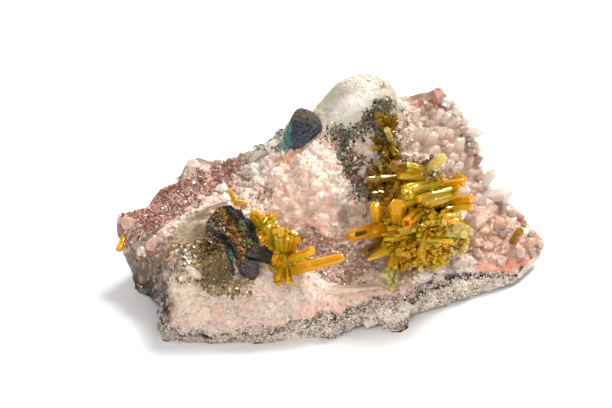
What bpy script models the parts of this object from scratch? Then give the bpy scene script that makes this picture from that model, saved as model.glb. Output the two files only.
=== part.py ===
"""A mimetite specimen: amber crystal sprays on a broken block of pink quartz and host rock.

The block leans back: its broad face looks toward -Y and up. Across that face u runs to the right
(+X), w runs up the lean and h stands out of it. The block is one sphere, moved so that its equator
follows the rim of the broad face and its two halves follow a front and a back relief, each a smooth
surface through named landmarks. Every crystal is a six-sided prism with its own ends.
Lengths below are in millimetres and the model is in metres, +Z up, resting on Z = 0.
"""

import math

import bmesh
import bpy
import numpy as np
from mathutils import Vector

MM = 0.001

# Driving dimensions
FACE_LEAN = math.radians(30)
MIDDLE_U = -0.7
MIDDLE_W = 7.1
RELIEF_POWER = 1.5
RIM_SAMPLES = 72
BLOCK_SEGMENTS = 144
BLOCK_RINGS = 56
BLOCK_FACETS = 3250
THINNEST = 0.2
GAP = 0.35
GROUND_SIZE = 80
GROUND_DEPTH = 20
CRYSTAL_SIDES = 6
CRYSTAL_ROOT = 2.6

# The rim of the broad face, clockwise from the left end: what shows against the background
RIM = {
    "left_end": [(-25.3, 0.0, 8.2), (-23.9, 1.0, 7.9), (-21.6, 2.5, 7.8)],
    "red_shoulder": [
        (-21.0, 3.0, 8.8), (-20.2, 3.5, 9.7), (-18.6, 4.0, 10.3),
        (-16.9, 4.5, 12.7), (-15.5, 5.0, 13.1),
    ],
    "left_ridge": [
        (-13.2, 5.0, 12.0), (-10.7, 5.5, 13.4), (-9.2, 5.5, 13.7), (-7.2, 6.0, 15.0),
        (-5.6, 6.0, 16.3), (-4.9, 6.5, 17.2), (-3.4, 7.0, 18.3), (-2.2, 7.0, 18.3),
    ],
    "white_knob": [
        (-1.3, 7.5, 19.4), (-0.3, 8.0, 20.4), (0.7, 8.0, 21.7), (2.1, 8.5, 22.2),
        (4.6, 9.0, 22.5), (5.8, 9.0, 21.8), (6.8, 9.0, 21.6), (7.4, 9.0, 20.6), (7.9, 9.0, 19.2),
    ],
    "horn": [
        (9.4, 9.5, 19.1), (11.7, 10.0, 19.4), (13.0, 10.0, 20.1), (13.8, 10.0, 19.4),
        (14.9, 10.5, 18.0),
    ],
    "druse_edge": [
        (15.8, 10.5, 16.9), (16.5, 10.3, 15.0), (17.5, 10.2, 13.7), (18.1, 10.0, 11.7),
        (18.4, 9.6, 9.9), (19.5, 8.6, 7.2), (20.9, 8.0, 5.8), (23.0, 6.8, 4.8), (24.2, 5.8, 3.7),
    ],
    "right_tip": [(25.4, 4.2, 3.0), (26.1, 3.0, 2.4), (25.5, 1.6, 1.6), (24.7, 0.6, 1.1)],
    "right_hem": [
        (21.9, -2.4, 0.7), (19.0, -3.8, 0.6), (17.2, -4.9, 0.1), (15.4, -5.8, 0.5),
        (11.9, -7.6, 0.4), (9.7, -8.9, 0.4),
    ],
    "foot": [
        (8.8, -9.6, 0.2), (8.5, -11.2, 0.0), (7.7, -12.6, 0.0), (6.8, -12.3, 0.0),
        (5.6, -11.5, 0.6),
    ],
    "front_hem": [
        (4.1, -11.5, 1.0), (2.3, -12.2, 0.6), (-0.2, -13.9, 0.0), (-1.7, -13.5, 0.6),
        (-4.5, -13.8, 0.3), (-8.0, -14.7, 0.0), (-10.1, -14.4, 0.3), (-13.8, -14.7, 0.0),
        (-14.9, -14.4, 0.3), (-18.4, -14.3, 0.0),
    ],
    "left_corner": [(-19.5, -13.3, 0.5), (-20.1, -12.0, 2.2), (-19.3, -9.4, 2.0)],
    "undercut": [
        (-20.3, -6.6, 0.3), (-23.1, -4.1, 0.3), (-23.7, -2.8, 2.2), (-24.9, -3.0, 5.9),
        (-25.4, -1.5, 6.9),
    ],
}

# Heights of the broad face, feature by feature
FACE = {
    "left_end_wall": [
        (-25.2, -2.0, 6.4), (-21.0, -5.5, 7.2), (-18.8, -7.5, 7.5), (-22.3, -5.0, 4.7),
        (-20.5, -6.5, 3.8),
    ],
    "left_shelf": [
        (-22.4, -2.0, 7.5), (-19.3, -4.5, 8.5), (-17.2, 1.0, 10.3), (-16.5, -2.5, 9.6),
        (-14.3, 0.5, 10.5),
    ],
    "nodule": [(-16.2, 3.5, 11.6)],
    "block_edge": [(-17.8, -11.5, 8.7), (-18.0, -13.0, 6.6), (-18.5, -14.0, 3.9)],
    "block_wall": [(-16.0, -14.6, 2.3), (-14.8, -13.0, 6.9), (-10.9, -14.8, 2.5), (-10.9, -13.0, 6.9)],
    "gossan_seat": [
        (-14.9, -10.0, 9.4), (-13.3, -7.5, 10.3), (-11.1, -4.0, 11.4), (-10.4, -11.0, 8.4),
        (-9.3, -8.0, 9.8),
    ],
    "front_slope": [
        (-7.0, -14.8, 2.5), (-7.0, -12.6, 6.4), (-3.6, -14.2, 2.7), (-3.6, -11.5, 5.7),
        (-4.2, -8.6, 6.9), (-5.4, -6.0, 8.3),
    ],
    "bench": [
        (-0.2, -13.8, 2.2), (-0.2, -11.0, 4.4), (0.4, -8.5, 4.7), (4.3, -12.4, 3.3),
        (4.3, -11.3, 4.1), (4.6, -9.0, 4.3),
    ],
    "recess": [(0.4, -6.0, 5.3), (3.9, -6.0, 5.3), (1.0, -5.0, 6.6)],
    "pink_boss": [
        (-0.8, -4.8, 8.6), (-3.6, -4.8, 9.6), (-7.1, -3.5, 10.2), (-3.6, -3.2, 12.0), (-0.2, -3.2, 11.3),
        (-8.3, -0.5, 12.5), (-6.6, 0.0, 13.5), (-3.1, -1.0, 14.1), (0.1, -1.0, 13.4), (-3.7, 1.0, 15.2),
        (-0.7, 1.0, 14.7), (1.6, -2.5, 10.9),
    ],
    "left_slope": [(-10.8, 2.0, 11.7), (-12.5, 0.0, 10.8), (-8.2, 3.5, 13.6), (-5.4, 4.0, 15.1)],
    "gritty_band": [
        (2.4, -1.2, 8.8), (2.5, 1.0, 11.6), (2.2, 2.8, 14.0), (4.8, 3.8, 15.5), (5.2, 5.5, 17.9),
        (1.0, 4.0, 16.7),
    ],
    "knob_front": [(2.2, 5.2, 20.0), (-0.1, 5.2, 18.3), (4.0, 6.5, 21.3), (6.4, 7.2, 20.3)],
    "cluster_seat": [
        (8.0, -5.5, 5.0), (5.7, -3.5, 7.5), (9.2, -3.0, 7.2), (6.3, -0.5, 9.8), (10.5, 0.5, 9.9),
        (8.2, 2.8, 12.6), (8.8, 5.0, 15.5),
    ],
    "right_foot": [
        (7.8, -11.2, 2.8), (7.8, -10.0, 4.0), (11.4, -8.6, 2.8), (11.4, -5.8, 5.2),
        (15.2, -6.2, 2.5), (15.3, -3.8, 4.9), (19.0, -4.0, 2.3), (19.0, -2.8, 3.3),
    ],
    "druse_slope": [
        (12.8, -2.8, 6.3), (13.5, 1.0, 8.9), (13.0, 4.0, 12.0), (11.9, 6.8, 15.2), (13.1, 8.5, 17.7),
        (15.5, -1.0, 5.9), (16.5, 3.0, 7.7), (16.3, 6.5, 10.6), (15.4, 8.4, 13.7),
        (19.2, -0.2, 4.8), (19.9, 3.8, 5.9), (22.7, 2.8, 4.1),
    ],
    "right_lobe": [(22.3, -1.6, 2.6), (22.7, 0.3, 3.4), (24.5, 1.2, 2.8)],
}

# Heights of the back and the underside; the ground plane cuts off what lies below it
BACK = {
    "resting_pads": [
        (-14.0, -9.0, -0.7), (-3.0, -3.0, -0.9), (9.0, -5.0, -0.5), (-5.0, 4.0, -0.7),
        (10.0, 4.0, -0.6),
    ],
    "hollows": [
        (-16.0, -2.0, 0.9), (-9.0, -9.5, 0.4), (3.0, -8.0, 0.6), (3.0, 1.5, 0.5), (17.0, 1.0, 0.5),
    ],
    "back_hem": [
        (-14.0, 4.5, 1.6), (-8.0, 8.5, 0.6), (5.0, 11.0, 0.6), (15.0, 8.5, 1.0), (20.5, 5.0, 1.4),
    ],
    "back_face": [
        (-20.5, 4.2, 3.5), (-12.5, 8.8, 5.5), (-3.0, 12.0, 8.5), (8.0, 14.0, 8.0),
        (15.5, 13.2, 6.0),
    ],
    "back_top": [(-5.0, 10.0, 13.5), (3.0, 12.0, 16.0), (11.5, 13.0, 14.0)],
}

# Where the host rock's crust meets the quartz above it, as (u, w), and the groove along it
SEAM = [
    (-26.0, -3.0), (-19.3, -5.5), (-16.0, -6.1), (-12.9, -6.4), (-8.9, -5.9), (-5.9, -5.5), (-2.4, -4.8),
    (0.8, -4.1), (4.6, -2.6), (7.9, -2.2), (10.8, -1.0), (14.9, -0.3), (18.1, 0.1), (24.0, -0.2),
]
SEAM_DEPTH = 0.5
SEAM_WIDTH = 0.45

# Crags: waves of lumps as (wavelength, height)
CRAGS = [(7.0, 0.5), (3.2, 0.4), (1.7, 0.18)]
CRAGS_AT_RIM = 0.35
LUMP_CRAGS = 0.6
LUMP_CRAG_SCALE = 1.7

# Crystals as (base, tip, width across)
MIMETITE_MAIN = {
    "long_left": ((6.4, -6.0, 10.1), (1.7, -8.6, 10.3), 1.65),
    "stub_left": ((5.1, -6.0, 10.9), (4.8, -8.2, 14.2), 1.35),
    "stub_middle": ((7.5, -6.6, 10.9), (7.2, -8.6, 14.5), 2.1),
    "hopper": ((10.3, -6.5, 12.9), (8.2, -10.6, 13.2), 1.25),
    "window_end": ((9.6, -3.5, 16.5), (6.8, -5.6, 17.7), 1.25),
    "pale_top": ((10.8, -3.0, 15.9), (12.3, -6.4, 19.3), 1.3),
    "olive_blade": ((8.2, -3.6, 15.3), (3.8, -4.8, 15.5), 1.1),
    "shelf_left": ((9.7, -5.0, 14.2), (7.2, -9.4, 15.6), 2.2),
    "shelf_middle": ((10.4, -5.0, 14.7), (9.4, -9.6, 15.8), 2.0),
    "shelf_right": ((11.5, -5.0, 14.7), (11.4, -9.2, 15.7), 1.4),
    "crown": ((9.8, -4.0, 13.1), (9.0, -7.4, 17.0), 2.5),
    "right_high": ((12.7, -3.8, 14.4), (15.0, -5.2, 15.5), 0.95),
    "right_twin_a": ((13.0, -4.3, 12.4), (15.9, -6.2, 13.8), 1.0),
    "right_twin_b": ((13.0, -4.6, 11.8), (15.8, -6.4, 13.0), 0.95),
    "right_stub": ((12.9, -4.2, 13.1), (14.4, -6.4, 15.3), 0.9),
    "lemon_plate": ((13.0, -4.4, 9.1), (14.5, -7.4, 10.9), 2.3),
    "lemon_beads": ((14.0, -4.2, 8.0), (16.0, -5.8, 9.6), 1.1),
    "low_left_dark": ((6.4, -6.0, 8.8), (3.7, -8.2, 7.8), 1.0),
    "low_left_point": ((7.6, -6.6, 8.0), (4.0, -9.4, 7.7), 1.3),
    "ledge": ((9.7, -7.0, 9.6), (5.8, -9.6, 10.8), 1.05),
    "lens": ((8.9, -6.6, 7.7), (7.9, -10.6, 9.5), 1.5),
    "hanging_left": ((7.3, -6.6, 7.4), (6.8, -9.6, 6.3), 1.3),
    "hanging_low": ((7.1, -7.6, 6.1), (6.1, -10.6, 6.1), 1.1),
    "foot_crystal": ((7.3, -8.2, 5.9), (6.5, -11.0, 4.9), 1.2),
    "low_right": ((13.2, -5.0, 6.6), (12.4, -8.0, 6.1), 1.3),
    "low_right_pale": ((13.7, -4.8, 6.4), (15.3, -6.6, 6.7), 0.9),
    "fluted": ((11.8, -5.6, 6.9), (10.5, -8.8, 7.1), 0.8),
    "orange_low": ((9.4, -6.2, 7.0), (9.4, -9.0, 6.6), 1.2),
    "front_gold": ((11.6, -5.6, 9.5), (11.8, -9.8, 11.7), 1.6),
    "front_amber": ((10.7, -6.0, 8.7), (10.4, -10.2, 10.5), 1.8),
    "front_high": ((12.3, -5.4, 11.3), (12.6, -9.6, 13.2), 1.6),
    "front_root": ((10.9, -6.0, 11.1), (9.7, -10.0, 12.2), 1.5),
    "side_high": ((12.4, -3.2, 12.8), (15.4, -2.6, 15.0), 1.3),
    "side_middle": ((12.6, -3.4, 11.0), (16.0, -3.0, 12.0), 1.3),
    "side_low": ((12.4, -3.0, 9.0), (16.2, -3.6, 8.4), 1.2),
    "side_foot": ((12.6, -3.6, 7.4), (15.4, -4.0, 5.8), 1.2),
    "back_high": ((10.5, -2.2, 13.6), (11.6, -1.6, 16.9), 1.3),
    "back_left": ((8.6, -2.4, 13.4), (7.6, -2.2, 16.4), 1.2),
    "left_high": ((7.4, -3.4, 12.4), (4.6, -3.6, 13.0), 1.0),
    "left_low": ((7.0, -4.4, 8.6), (4.3, -5.0, 8.6), 1.1),
}
MIMETITE_SPRAY = {
    "long_right": ((-4.5, -10.0, 6.7), (1.2, -12.5, 10.0), 1.3),
    "short_right": ((-4.9, -9.5, 7.8), (-2.2, -12.0, 10.6), 1.05),
    "amber_stub": ((-5.0, -8.5, 8.5), (-4.4, -10.0, 11.5), 1.6),
    "bright_a": ((-5.9, -8.5, 8.5), (-6.0, -10.0, 12.0), 1.5),
    "bright_b": ((-6.8, -8.0, 9.1), (-7.0, -9.0, 12.3), 1.2),
    "low_a": ((-5.7, -10.3, 7.3), (-6.2, -12.5, 6.6), 1.2),
    "low_b": ((-5.0, -10.3, 7.1), (-4.7, -13.0, 6.8), 1.0),
    "top_a": ((-7.8, -6.5, 9.7), (-8.8, -7.5, 12.9), 1.0),
    "top_b": ((-8.0, -6.0, 10.2), (-9.7, -6.5, 12.2), 0.9),
}
MIMETITE_CREST = {
    "crest_a": ((6.3, 4.3, 17.3), (5.6, 3.2, 19.7), 1.5),
    "crest_b": ((6.9, 4.3, 17.3), (7.7, 3.3, 19.3), 1.3),
    "streak": ((7.0, 3.4, 16.2), (6.4, 1.3, 18.8), 1.2),
    "low_a": ((6.5, 2.8, 15.4), (6.0, 0.6, 15.4), 1.1),
    "low_b": ((7.0, 2.8, 15.6), (7.6, 0.8, 15.6), 1.0),
    "left_a": ((5.9, 3.6, 16.1), (4.5, 2.4, 17.0), 0.9),
    "left_b": ((5.9, 3.2, 15.6), (4.7, 1.9, 15.9), 0.8),
}
MIMETITE_SINGLES = {
    "mimetite_right_stub": ((21.6, 0.9, 3.4), (22.5, -0.5, 6.3), 1.1),
    "mimetite_left_tip": ((-24.2, -1.6, 6.6), (-24.9, -3.9, 5.6), 0.9),
    "mimetite_blade_long": ((-11.0, -3.6, 11.6), (-11.7, -4.5, 14.1), 0.6),
    "mimetite_blade_short": ((-9.9, -3.8, 11.8), (-11.1, -5.0, 12.9), 0.6),
}
QUARTZ_POINTS = {
    "edge_high": ((15.2, 9.6, 14.5), (18.7, 9.4, 14.1), 1.35),
    "edge_slim": ((18.9, 7.8, 6.6), (20.1, 8.2, 10.2), 0.75),
    "edge_broad": ((18.4, 7.2, 6.4), (22.4, 6.6, 7.4), 1.8),
    "ridge_a": ((13.6, 9.2, 17.8), (14.3, 10.1, 19.4), 1.3),
    "ridge_b": ((14.8, 9.6, 16.6), (15.7, 10.2, 18.2), 1.3),
    "ridge_c": ((15.8, 9.8, 15.0), (17.0, 10.5, 16.2), 1.2),
    "ridge_d": ((17.2, 9.6, 11.6), (18.9, 9.9, 11.6), 1.3),
    "ridge_e": ((17.6, 9.2, 9.0), (19.1, 9.6, 9.6), 1.2),
    "ridge_f": ((20.8, 7.2, 5.0), (22.0, 7.6, 6.2), 1.2),
    "ridge_g": ((22.4, 6.2, 4.2), (23.9, 6.5, 5.2), 1.2),
}

# Patches on the broad face as (middle, reach at equal bearings from the right, thickness)
CLUSTER_CORE = ((10.0, -3.6, 10.6), (4.4, 5.6, 4.4, 5.2), 3.4)
SPRAY_CORE = ((-5.8, -8.2, 8.0), (1.5, 1.6, 2.4, 4.6, 1.6, 1.6, 2.4, 2.0), 1.1)
CREST_CORE = ((6.4, 4.6, 16.4), (1.1, 2.2, 1.2, 2.2), 0.9)
GOSSAN = ((-11.7, -9.6, 9.6), (3.4, 4.2, 3.9, 5.0, 4.2, 3.6, 4.4, 6.0, 5.0, 4.2, 3.6, 3.0), 1.2)
ORE_PODS = {
    "ore_pod_upper": ((-3.5, 4.9, 16.7), (1.5, 1.8, 1.4, 1.7), 1.5),
    "ore_pod_left": ((-7.9, -9.1, 8.4), (1.7, 1.0, 0.9, 1.3, 1.5, 1.1, 0.9, 1.2), 1.5),
    "ore_pod_small": ((-9.4, -11.3, 7.8), (0.9, 1.0, 0.7, 1.1), 1.3),
    "ore_streak": ((-13.5, -7.6, 10.2), (1.2, 0.4, 0.9, 1.6, 0.6, 0.4, 1.2, 1.8), 1.1),
}
ORE_IN_GOSSAN = ("ore_pod_left", "ore_pod_small", "ore_streak")
LUMP_DEPTH = 1.0

MIMETITE_GROUPS = {
    "mimetite_cluster": (CLUSTER_CORE, MIMETITE_MAIN),
    "mimetite_spray": (SPRAY_CORE, MIMETITE_SPRAY),
    "mimetite_crest": (CREST_CORE, MIMETITE_CREST),
}

# Druse of quartz on the right slope
DRUSE_TRIES = 1500
DRUSE_SEED = 11
DRUSE_SPACING = 1.65
DRUSE_WIDTH = (1.3, 2.1)
DRUSE_RISE = (0.7, 1.5)
DRUSE_ROOT = 1.3
DRUSE_LEAN = 0.3
DRUSE_BEARINGS = (-0.5, 1.15)
DRUSE_SHARES = (0.2, 0.93)
DRUSE_LEFT_EDGE = 9.0
DRUSE_CLEAR_OF_CLUSTER = (6.8, 7.8)
POINT_BEVEL = 0.5

# Materials as (red, green, blue, roughness, metallic)
MATERIALS = {
    "quartz": (0.66, 0.47, 0.40, 0.45, 0.0),
    "mimetite": (0.62, 0.33, 0.03, 0.2, 0.0),
    "gossan": (0.14, 0.09, 0.035, 0.85, 0.0),
    "ore": (0.03, 0.035, 0.045, 0.4, 0.5),
}

ACROSS = np.array([1.0, 0.0, 0.0])
UPWARD = np.array([0.0, math.sin(FACE_LEAN), math.cos(FACE_LEAN)])
OUTWARD = np.array([0.0, -math.cos(FACE_LEAN), math.sin(FACE_LEAN)])
FRAME = np.array([ACROSS, UPWARD, OUTWARD])
MIDDLE = np.array([MIDDLE_U, MIDDLE_W])


def in_face(points):
    """World millimetres to (u, w, h) of the broad face."""
    return np.asarray(points, float) @ FRAME.T


def in_world(points):
    """(u, w, h) of the broad face to world millimetres."""
    return np.asarray(points, float) @ FRAME


def flatten(groups):
    """The landmarks of every feature, in the frame of the broad face."""
    return in_face([point for group in groups.values() for point in group])


def rim_curve():
    """Bearing, radius and height of the rim, closed and sorted by bearing."""
    rim = flatten(RIM)
    offset = rim[:, :2] - MIDDLE
    bearing = np.arctan2(offset[:, 1], offset[:, 0])
    order = np.argsort(bearing)
    bearing = bearing[order]
    radius = np.hypot(offset[order, 0], offset[order, 1])
    height = rim[order, 2]
    turn = 2 * math.pi
    bearing = np.concatenate([bearing - turn, bearing, bearing + turn])
    return bearing, np.tile(radius, 3), np.tile(height, 3)


def kernel(here, there):
    """Distance from every point here to every landmark there, to the relief's power."""
    gap = np.linalg.norm(here[:, None, :] - there[None, :, :], axis=2)
    return gap**RELIEF_POWER


class Relief:
    """A smooth height over (u, w) that passes through landmarks."""

    def __init__(self, marks):
        self.places = marks[:, :2]
        count = len(marks)
        plane = np.column_stack([np.ones(count), self.places])
        system = np.zeros((count + 3, count + 3))
        system[:count, :count] = kernel(self.places, self.places)
        system[:count, count:] = plane
        system[count:, :count] = plane.T
        self.weights = np.linalg.solve(system, np.concatenate([marks[:, 2], np.zeros(3)]))

    def __call__(self, places):
        plane = np.column_stack([np.ones(len(places)), places])
        return kernel(places, self.places) @ self.weights[:-3] + plane @ self.weights[-3:]


def random_lattice(cells, seed):
    """A fixed random value from -1 to 1 for each cell of a grid."""
    mixed = cells[:, 0] * 73856093 ^ cells[:, 1] * 19349663 ^ cells[:, 2] * 83492791 ^ seed * 2654435
    mixed = (mixed ^ (mixed >> 13)) * 1274126177
    return ((mixed ^ (mixed >> 16)) & 65535) / 32767.5 - 1


def smooth_noise(points, seed):
    """Smooth noise from -1 to 1 with a wavelength of about one unit."""
    cells = np.floor(points).astype(np.int64)
    share = points - cells
    share = share * share * (3 - 2 * share)
    total = np.zeros(len(points))
    for corner in np.ndindex(2, 2, 2):
        weight = np.prod(np.where(corner, share, 1 - share), axis=1)
        total += weight * random_lattice(cells + corner, seed)
    return total


def crags(points):
    """How far the broken rock stands out or in at each point."""
    rise = np.zeros(len(points))
    for seed, (wavelength, height) in enumerate(CRAGS):
        rise += height * (2 * np.abs(smooth_noise(points / wavelength, seed)) - 0.6)
    return rise


def seam_groove(places):
    """How far the groove above the crust goes in at each (u, w)."""
    across, along = np.array(SEAM).T
    away = places[:, 1] - np.interp(places[:, 0], across, along)
    return SEAM_DEPTH * np.exp(-((away / SEAM_WIDTH) ** 2))


class Block:
    """The whole outside of the block, from the direction of a point on a sphere."""

    def __init__(self):
        self.bearing, self.radius, self.height = rim_curve()
        samples = np.linspace(-math.pi, math.pi, RIM_SAMPLES, endpoint=False)
        rim = np.column_stack([self.places(samples, 1.0), self.rim_height(samples)])
        self.front = Relief(np.vstack([rim, flatten(FACE)]))
        self.back = Relief(np.vstack([rim, flatten(BACK)]))

    def rim_height(self, bearing):
        return np.interp(bearing, self.bearing, self.height)

    def places(self, bearing, share):
        """(u, w) at a share of the way from the middle to the rim."""
        reach = share * np.interp(bearing, self.bearing, self.radius)
        return MIDDLE + np.column_stack([reach * np.cos(bearing), reach * np.sin(bearing)])

    def surface(self, directions):
        """World millimetres for unit directions; +Z is the middle of the broad face."""
        bearing = np.arctan2(directions[:, 1], directions[:, 0])
        polar = np.arccos(np.clip(directions[:, 2], -1, 1)) * 2 / math.pi
        share = 1 - np.abs(1 - polar)
        places = self.places(bearing, share)
        front = self.front(places) - seam_groove(places) * (1 - share**8)
        back = np.minimum(self.back(places), self.front(places) - THINNEST)
        height = np.where(polar < 1, front, back)
        on_rim = np.abs(polar - 1) < 1e-4
        height = np.where(on_rim, self.rim_height(bearing), height)
        points = in_world(np.column_stack([places, height]))
        strength = 1 - (1 - CRAGS_AT_RIM) * share**6
        return points + (strength * crags(points))[:, None] * in_world(directions)

    def normal(self, place, step=0.4):
        """Unit world direction out of the broad face at one (u, w)."""
        across = np.array([[step, 0.0], [-step, 0.0], [0.0, step], [0.0, -step]])
        right, left, above, below = self.front(place + across)
        slope = np.array([(left - right) / (2 * step), (below - above) / (2 * step), 1.0])
        return in_world(slope / np.linalg.norm(slope))


def clear_scene():
    for item in list(bpy.data.objects):
        bpy.data.objects.remove(item, do_unlink=True)


def new_collection(name):
    collection = bpy.data.collections.new(name)
    bpy.context.scene.collection.children.link(collection)
    return collection


def new_material(name):
    red, green, blue, roughness, metallic = MATERIALS[name]
    material = bpy.data.materials.new(name)
    material.use_nodes = True
    shader = material.node_tree.nodes["Principled BSDF"]
    shader.inputs["Base Color"].default_value = (red, green, blue, 1.0)
    shader.inputs["Roughness"].default_value = roughness
    shader.inputs["Metallic"].default_value = metallic
    return material


def object_from(name, shape, collection):
    """An object from a bmesh, linked to a collection."""
    mesh = bpy.data.meshes.new(name)
    shape.to_mesh(mesh)
    shape.free()
    item = bpy.data.objects.new(name, mesh)
    collection.objects.link(item)
    return item


def move_vertices(shape, rule):
    """Moves a bmesh's vertices by a rule on the array of their places."""
    before = np.array([vertex.co for vertex in shape.verts])
    after = rule(before)
    for vertex, place in zip(shape.verts, after):
        vertex.co = place


def make_block(name, block, collection):
    """The block as a sphere moved to its surface, with its facets then thinned out."""
    shape = bmesh.new()
    bmesh.ops.create_uvsphere(shape, u_segments=BLOCK_SEGMENTS, v_segments=BLOCK_RINGS, radius=1.0)
    move_vertices(shape, lambda sphere: block.surface(sphere) * MM)
    return object_from(name, shape, collection)


def frame_along(axis):
    """A rotation that takes +Z to the axis."""
    return Vector(axis).to_track_quat("Z", "Y")


def make_crystal(name, base, tip, width, collection, root=0.0, end=0.45, flat=0.5):
    """A six-sided prism, rooted behind its base, bevelled to a smaller end face or a point."""
    base, tip = Vector(base), Vector(tip)
    base -= root * (tip - base).normalized()
    length = (tip - base).length
    radius = width / 2
    bevel = min(end * width, 0.5 * length)
    shape = bmesh.new()
    bmesh.ops.create_cone(
        shape,
        segments=CRYSTAL_SIDES,
        cap_ends=True,
        radius1=radius * MM,
        radius2=radius * MM,
        depth=(length - bevel) * MM,
    )
    top = max(shape.faces, key=lambda face: face.calc_center_median().z)
    if flat:
        bmesh.ops.inset_region(shape, faces=[top], thickness=radius * (1 - flat) * MM)
        for vertex in top.verts:
            vertex.co.z += bevel * MM
    else:
        centre = bmesh.ops.poke(shape, faces=[top])["verts"][0]
        centre.co.z += bevel * MM
    for vertex in shape.verts:
        vertex.co.z += (length - bevel) / 2 * MM
    item = object_from(name, shape, collection)
    item.location = base * MM
    item.rotation_mode = "QUATERNION"
    item.rotation_quaternion = frame_along(tip - base)
    return item


def make_lump(name, block, patch, collection, subdivisions=3, grow=0.0):
    """A domed patch that rises from inside the broad face and follows its relief."""
    middle, reach, thickness = patch
    place = in_face(middle)[:2]
    knots = np.linspace(0, 2 * math.pi, len(reach) + 1)
    closed = np.array([*reach, reach[0]])
    shape = bmesh.new()
    bmesh.ops.create_icosphere(shape, subdivisions=subdivisions, radius=1.0)

    def dome(sphere):
        bearing = np.arctan2(sphere[:, 1], sphere[:, 0]) % (2 * math.pi)
        outline = (np.interp(bearing, knots, closed) + grow)[:, None]
        places = place + outline * sphere[:, :2]
        above = (thickness + grow) * sphere[:, 2]
        rise = np.where(sphere[:, 2] > 0, above, LUMP_DEPTH * sphere[:, 2])
        points = in_world(np.column_stack([places, block.front(places) + rise]))
        lumps = crags(points * LUMP_CRAG_SCALE) * LUMP_CRAGS * np.maximum(sphere[:, 2], 0)
        return (points + lumps[:, None] * OUTWARD) * MM

    move_vertices(shape, dome)
    return object_from(name, shape, collection)


def set_aside(item):
    """Marks an object that only cuts or joins another."""
    item.hide_render = True
    item.display_type = "WIRE"


def join_pieces(item, pieces):
    """Unites an object with every piece of a collection."""
    for piece in pieces.objects:
        set_aside(piece)
    union = item.modifiers.new("join", "BOOLEAN")
    union.operation = "UNION"
    union.operand_type = "COLLECTION"
    union.collection = pieces
    union.use_self = True


def cut_away(item, cutter):
    """Takes a cutter's volume out of an object."""
    set_aside(cutter)
    cut = item.modifiers.new("cut_" + cutter.name, "BOOLEAN")
    cut.operation = "DIFFERENCE"
    cut.object = cutter


def settle(item):
    """Replaces an object's mesh by the one that its modifiers give."""
    bpy.context.view_layer.update()
    graph = bpy.context.evaluated_depsgraph_get()
    mesh = bpy.data.meshes.new_from_object(item.evaluated_get(graph))
    item.modifiers.clear()
    item.data = mesh


def thin_facets(item, facets):
    """Lowers an object's triangle count, keeping its form."""
    item.data.calc_loop_triangles()
    thin = item.modifiers.new("thin", "DECIMATE")
    thin.ratio = facets / len(item.data.loop_triangles)
    settle(item)


def druse_sites(block):
    """Spaced places of the quartz crystals on the right slope, as (u, w)."""
    chance = np.random.default_rng(DRUSE_SEED)
    middle = in_face(CLUSTER_CORE[0])[:2]
    sites = []
    for _ in range(DRUSE_TRIES):
        bearing = chance.uniform(*DRUSE_BEARINGS)
        share = math.sqrt(chance.uniform(*DRUSE_SHARES))
        place = block.places(np.array([bearing]), share)[0]
        clear_of_cluster = np.linalg.norm((place - middle) / DRUSE_CLEAR_OF_CLUSTER) > 1
        spaced = all(np.linalg.norm(place - other) > DRUSE_SPACING for other in sites)
        if place[0] > DRUSE_LEFT_EDGE and clear_of_cluster and spaced:
            sites.append(place)
    return np.array(sites), chance


def make_druse(block, pieces):
    """Stubby quartz crystals on the right slope, and the ones that stand out of its edge."""
    sites, chance = druse_sites(block)
    for number, site in enumerate(sites):
        width = chance.uniform(*DRUSE_WIDTH)
        rise = chance.uniform(*DRUSE_RISE)
        lean = chance.normal(0, DRUSE_LEAN, 3)
        seat = in_world([*site, block.front(site[None])[0]])
        axis = block.normal(site) + lean
        axis /= np.linalg.norm(axis)
        base = seat - DRUSE_ROOT * axis
        tip = seat + rise * axis
        make_crystal(f"quartz_{number:02d}", base, tip, width, pieces, end=POINT_BEVEL, flat=0)
    for name, (base, tip, width) in QUARTZ_POINTS.items():
        make_crystal("quartz_" + name, base, tip, width, pieces, end=POINT_BEVEL, flat=0)


def make_ground(cutters):
    """The half space below the surface that the block rests on."""
    bpy.ops.mesh.primitive_cube_add(size=1, location=(0, 0, -GROUND_DEPTH / 2 * MM))
    ground = bpy.context.object
    ground.name = "ground"
    ground.scale = (GROUND_SIZE * MM, GROUND_SIZE * MM, GROUND_DEPTH * MM)
    bpy.ops.object.transform_apply(location=False, rotation=False, scale=True)
    for collection in list(ground.users_collection):
        collection.objects.unlink(ground)
    cutters.objects.link(ground)
    return ground


def make_clearance(matrix, cutters):
    """The block grown outward by the gap, to cut what sits on it."""
    cutter = bpy.data.objects.new("clearance", matrix.data.copy())
    cutters.objects.link(cutter)
    normals = [vertex.normal.copy() for vertex in cutter.data.vertices]
    for vertex, normal in zip(cutter.data.vertices, normals):
        vertex.co += normal * GAP * MM
    return cutter


def make_spray_rooms(block, cutters):
    """The spray's core and crystals grown outward by the gap, to cut what it stands in."""
    rooms = [make_lump("spray_room", block, SPRAY_CORE, cutters, subdivisions=2, grow=GAP)]
    for label, (base, tip, width) in MIMETITE_SPRAY.items():
        wide = width + 2 * GAP
        rooms.append(make_crystal("room_" + label, base, tip, wide, cutters, root=CRYSTAL_ROOT + GAP))
    return rooms


def make_ore_rooms(block, cutters):
    """The ore in the gossan grown outward by the gap."""
    rooms = []
    for name in ORE_IN_GOSSAN:
        rooms.append(make_lump(name + "_room", block, ORE_PODS[name], cutters, subdivisions=2, grow=GAP))
    return rooms


def finish_node(item, material, parts, parent):
    """Puts an object among the parts with its material, under the specimen's empty."""
    for collection in list(item.users_collection):
        collection.objects.unlink(item)
    parts.objects.link(item)
    item.hide_render = False
    item.display_type = "TEXTURED"
    item.data.materials.clear()
    item.data.materials.append(material)
    item.parent = parent


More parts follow.
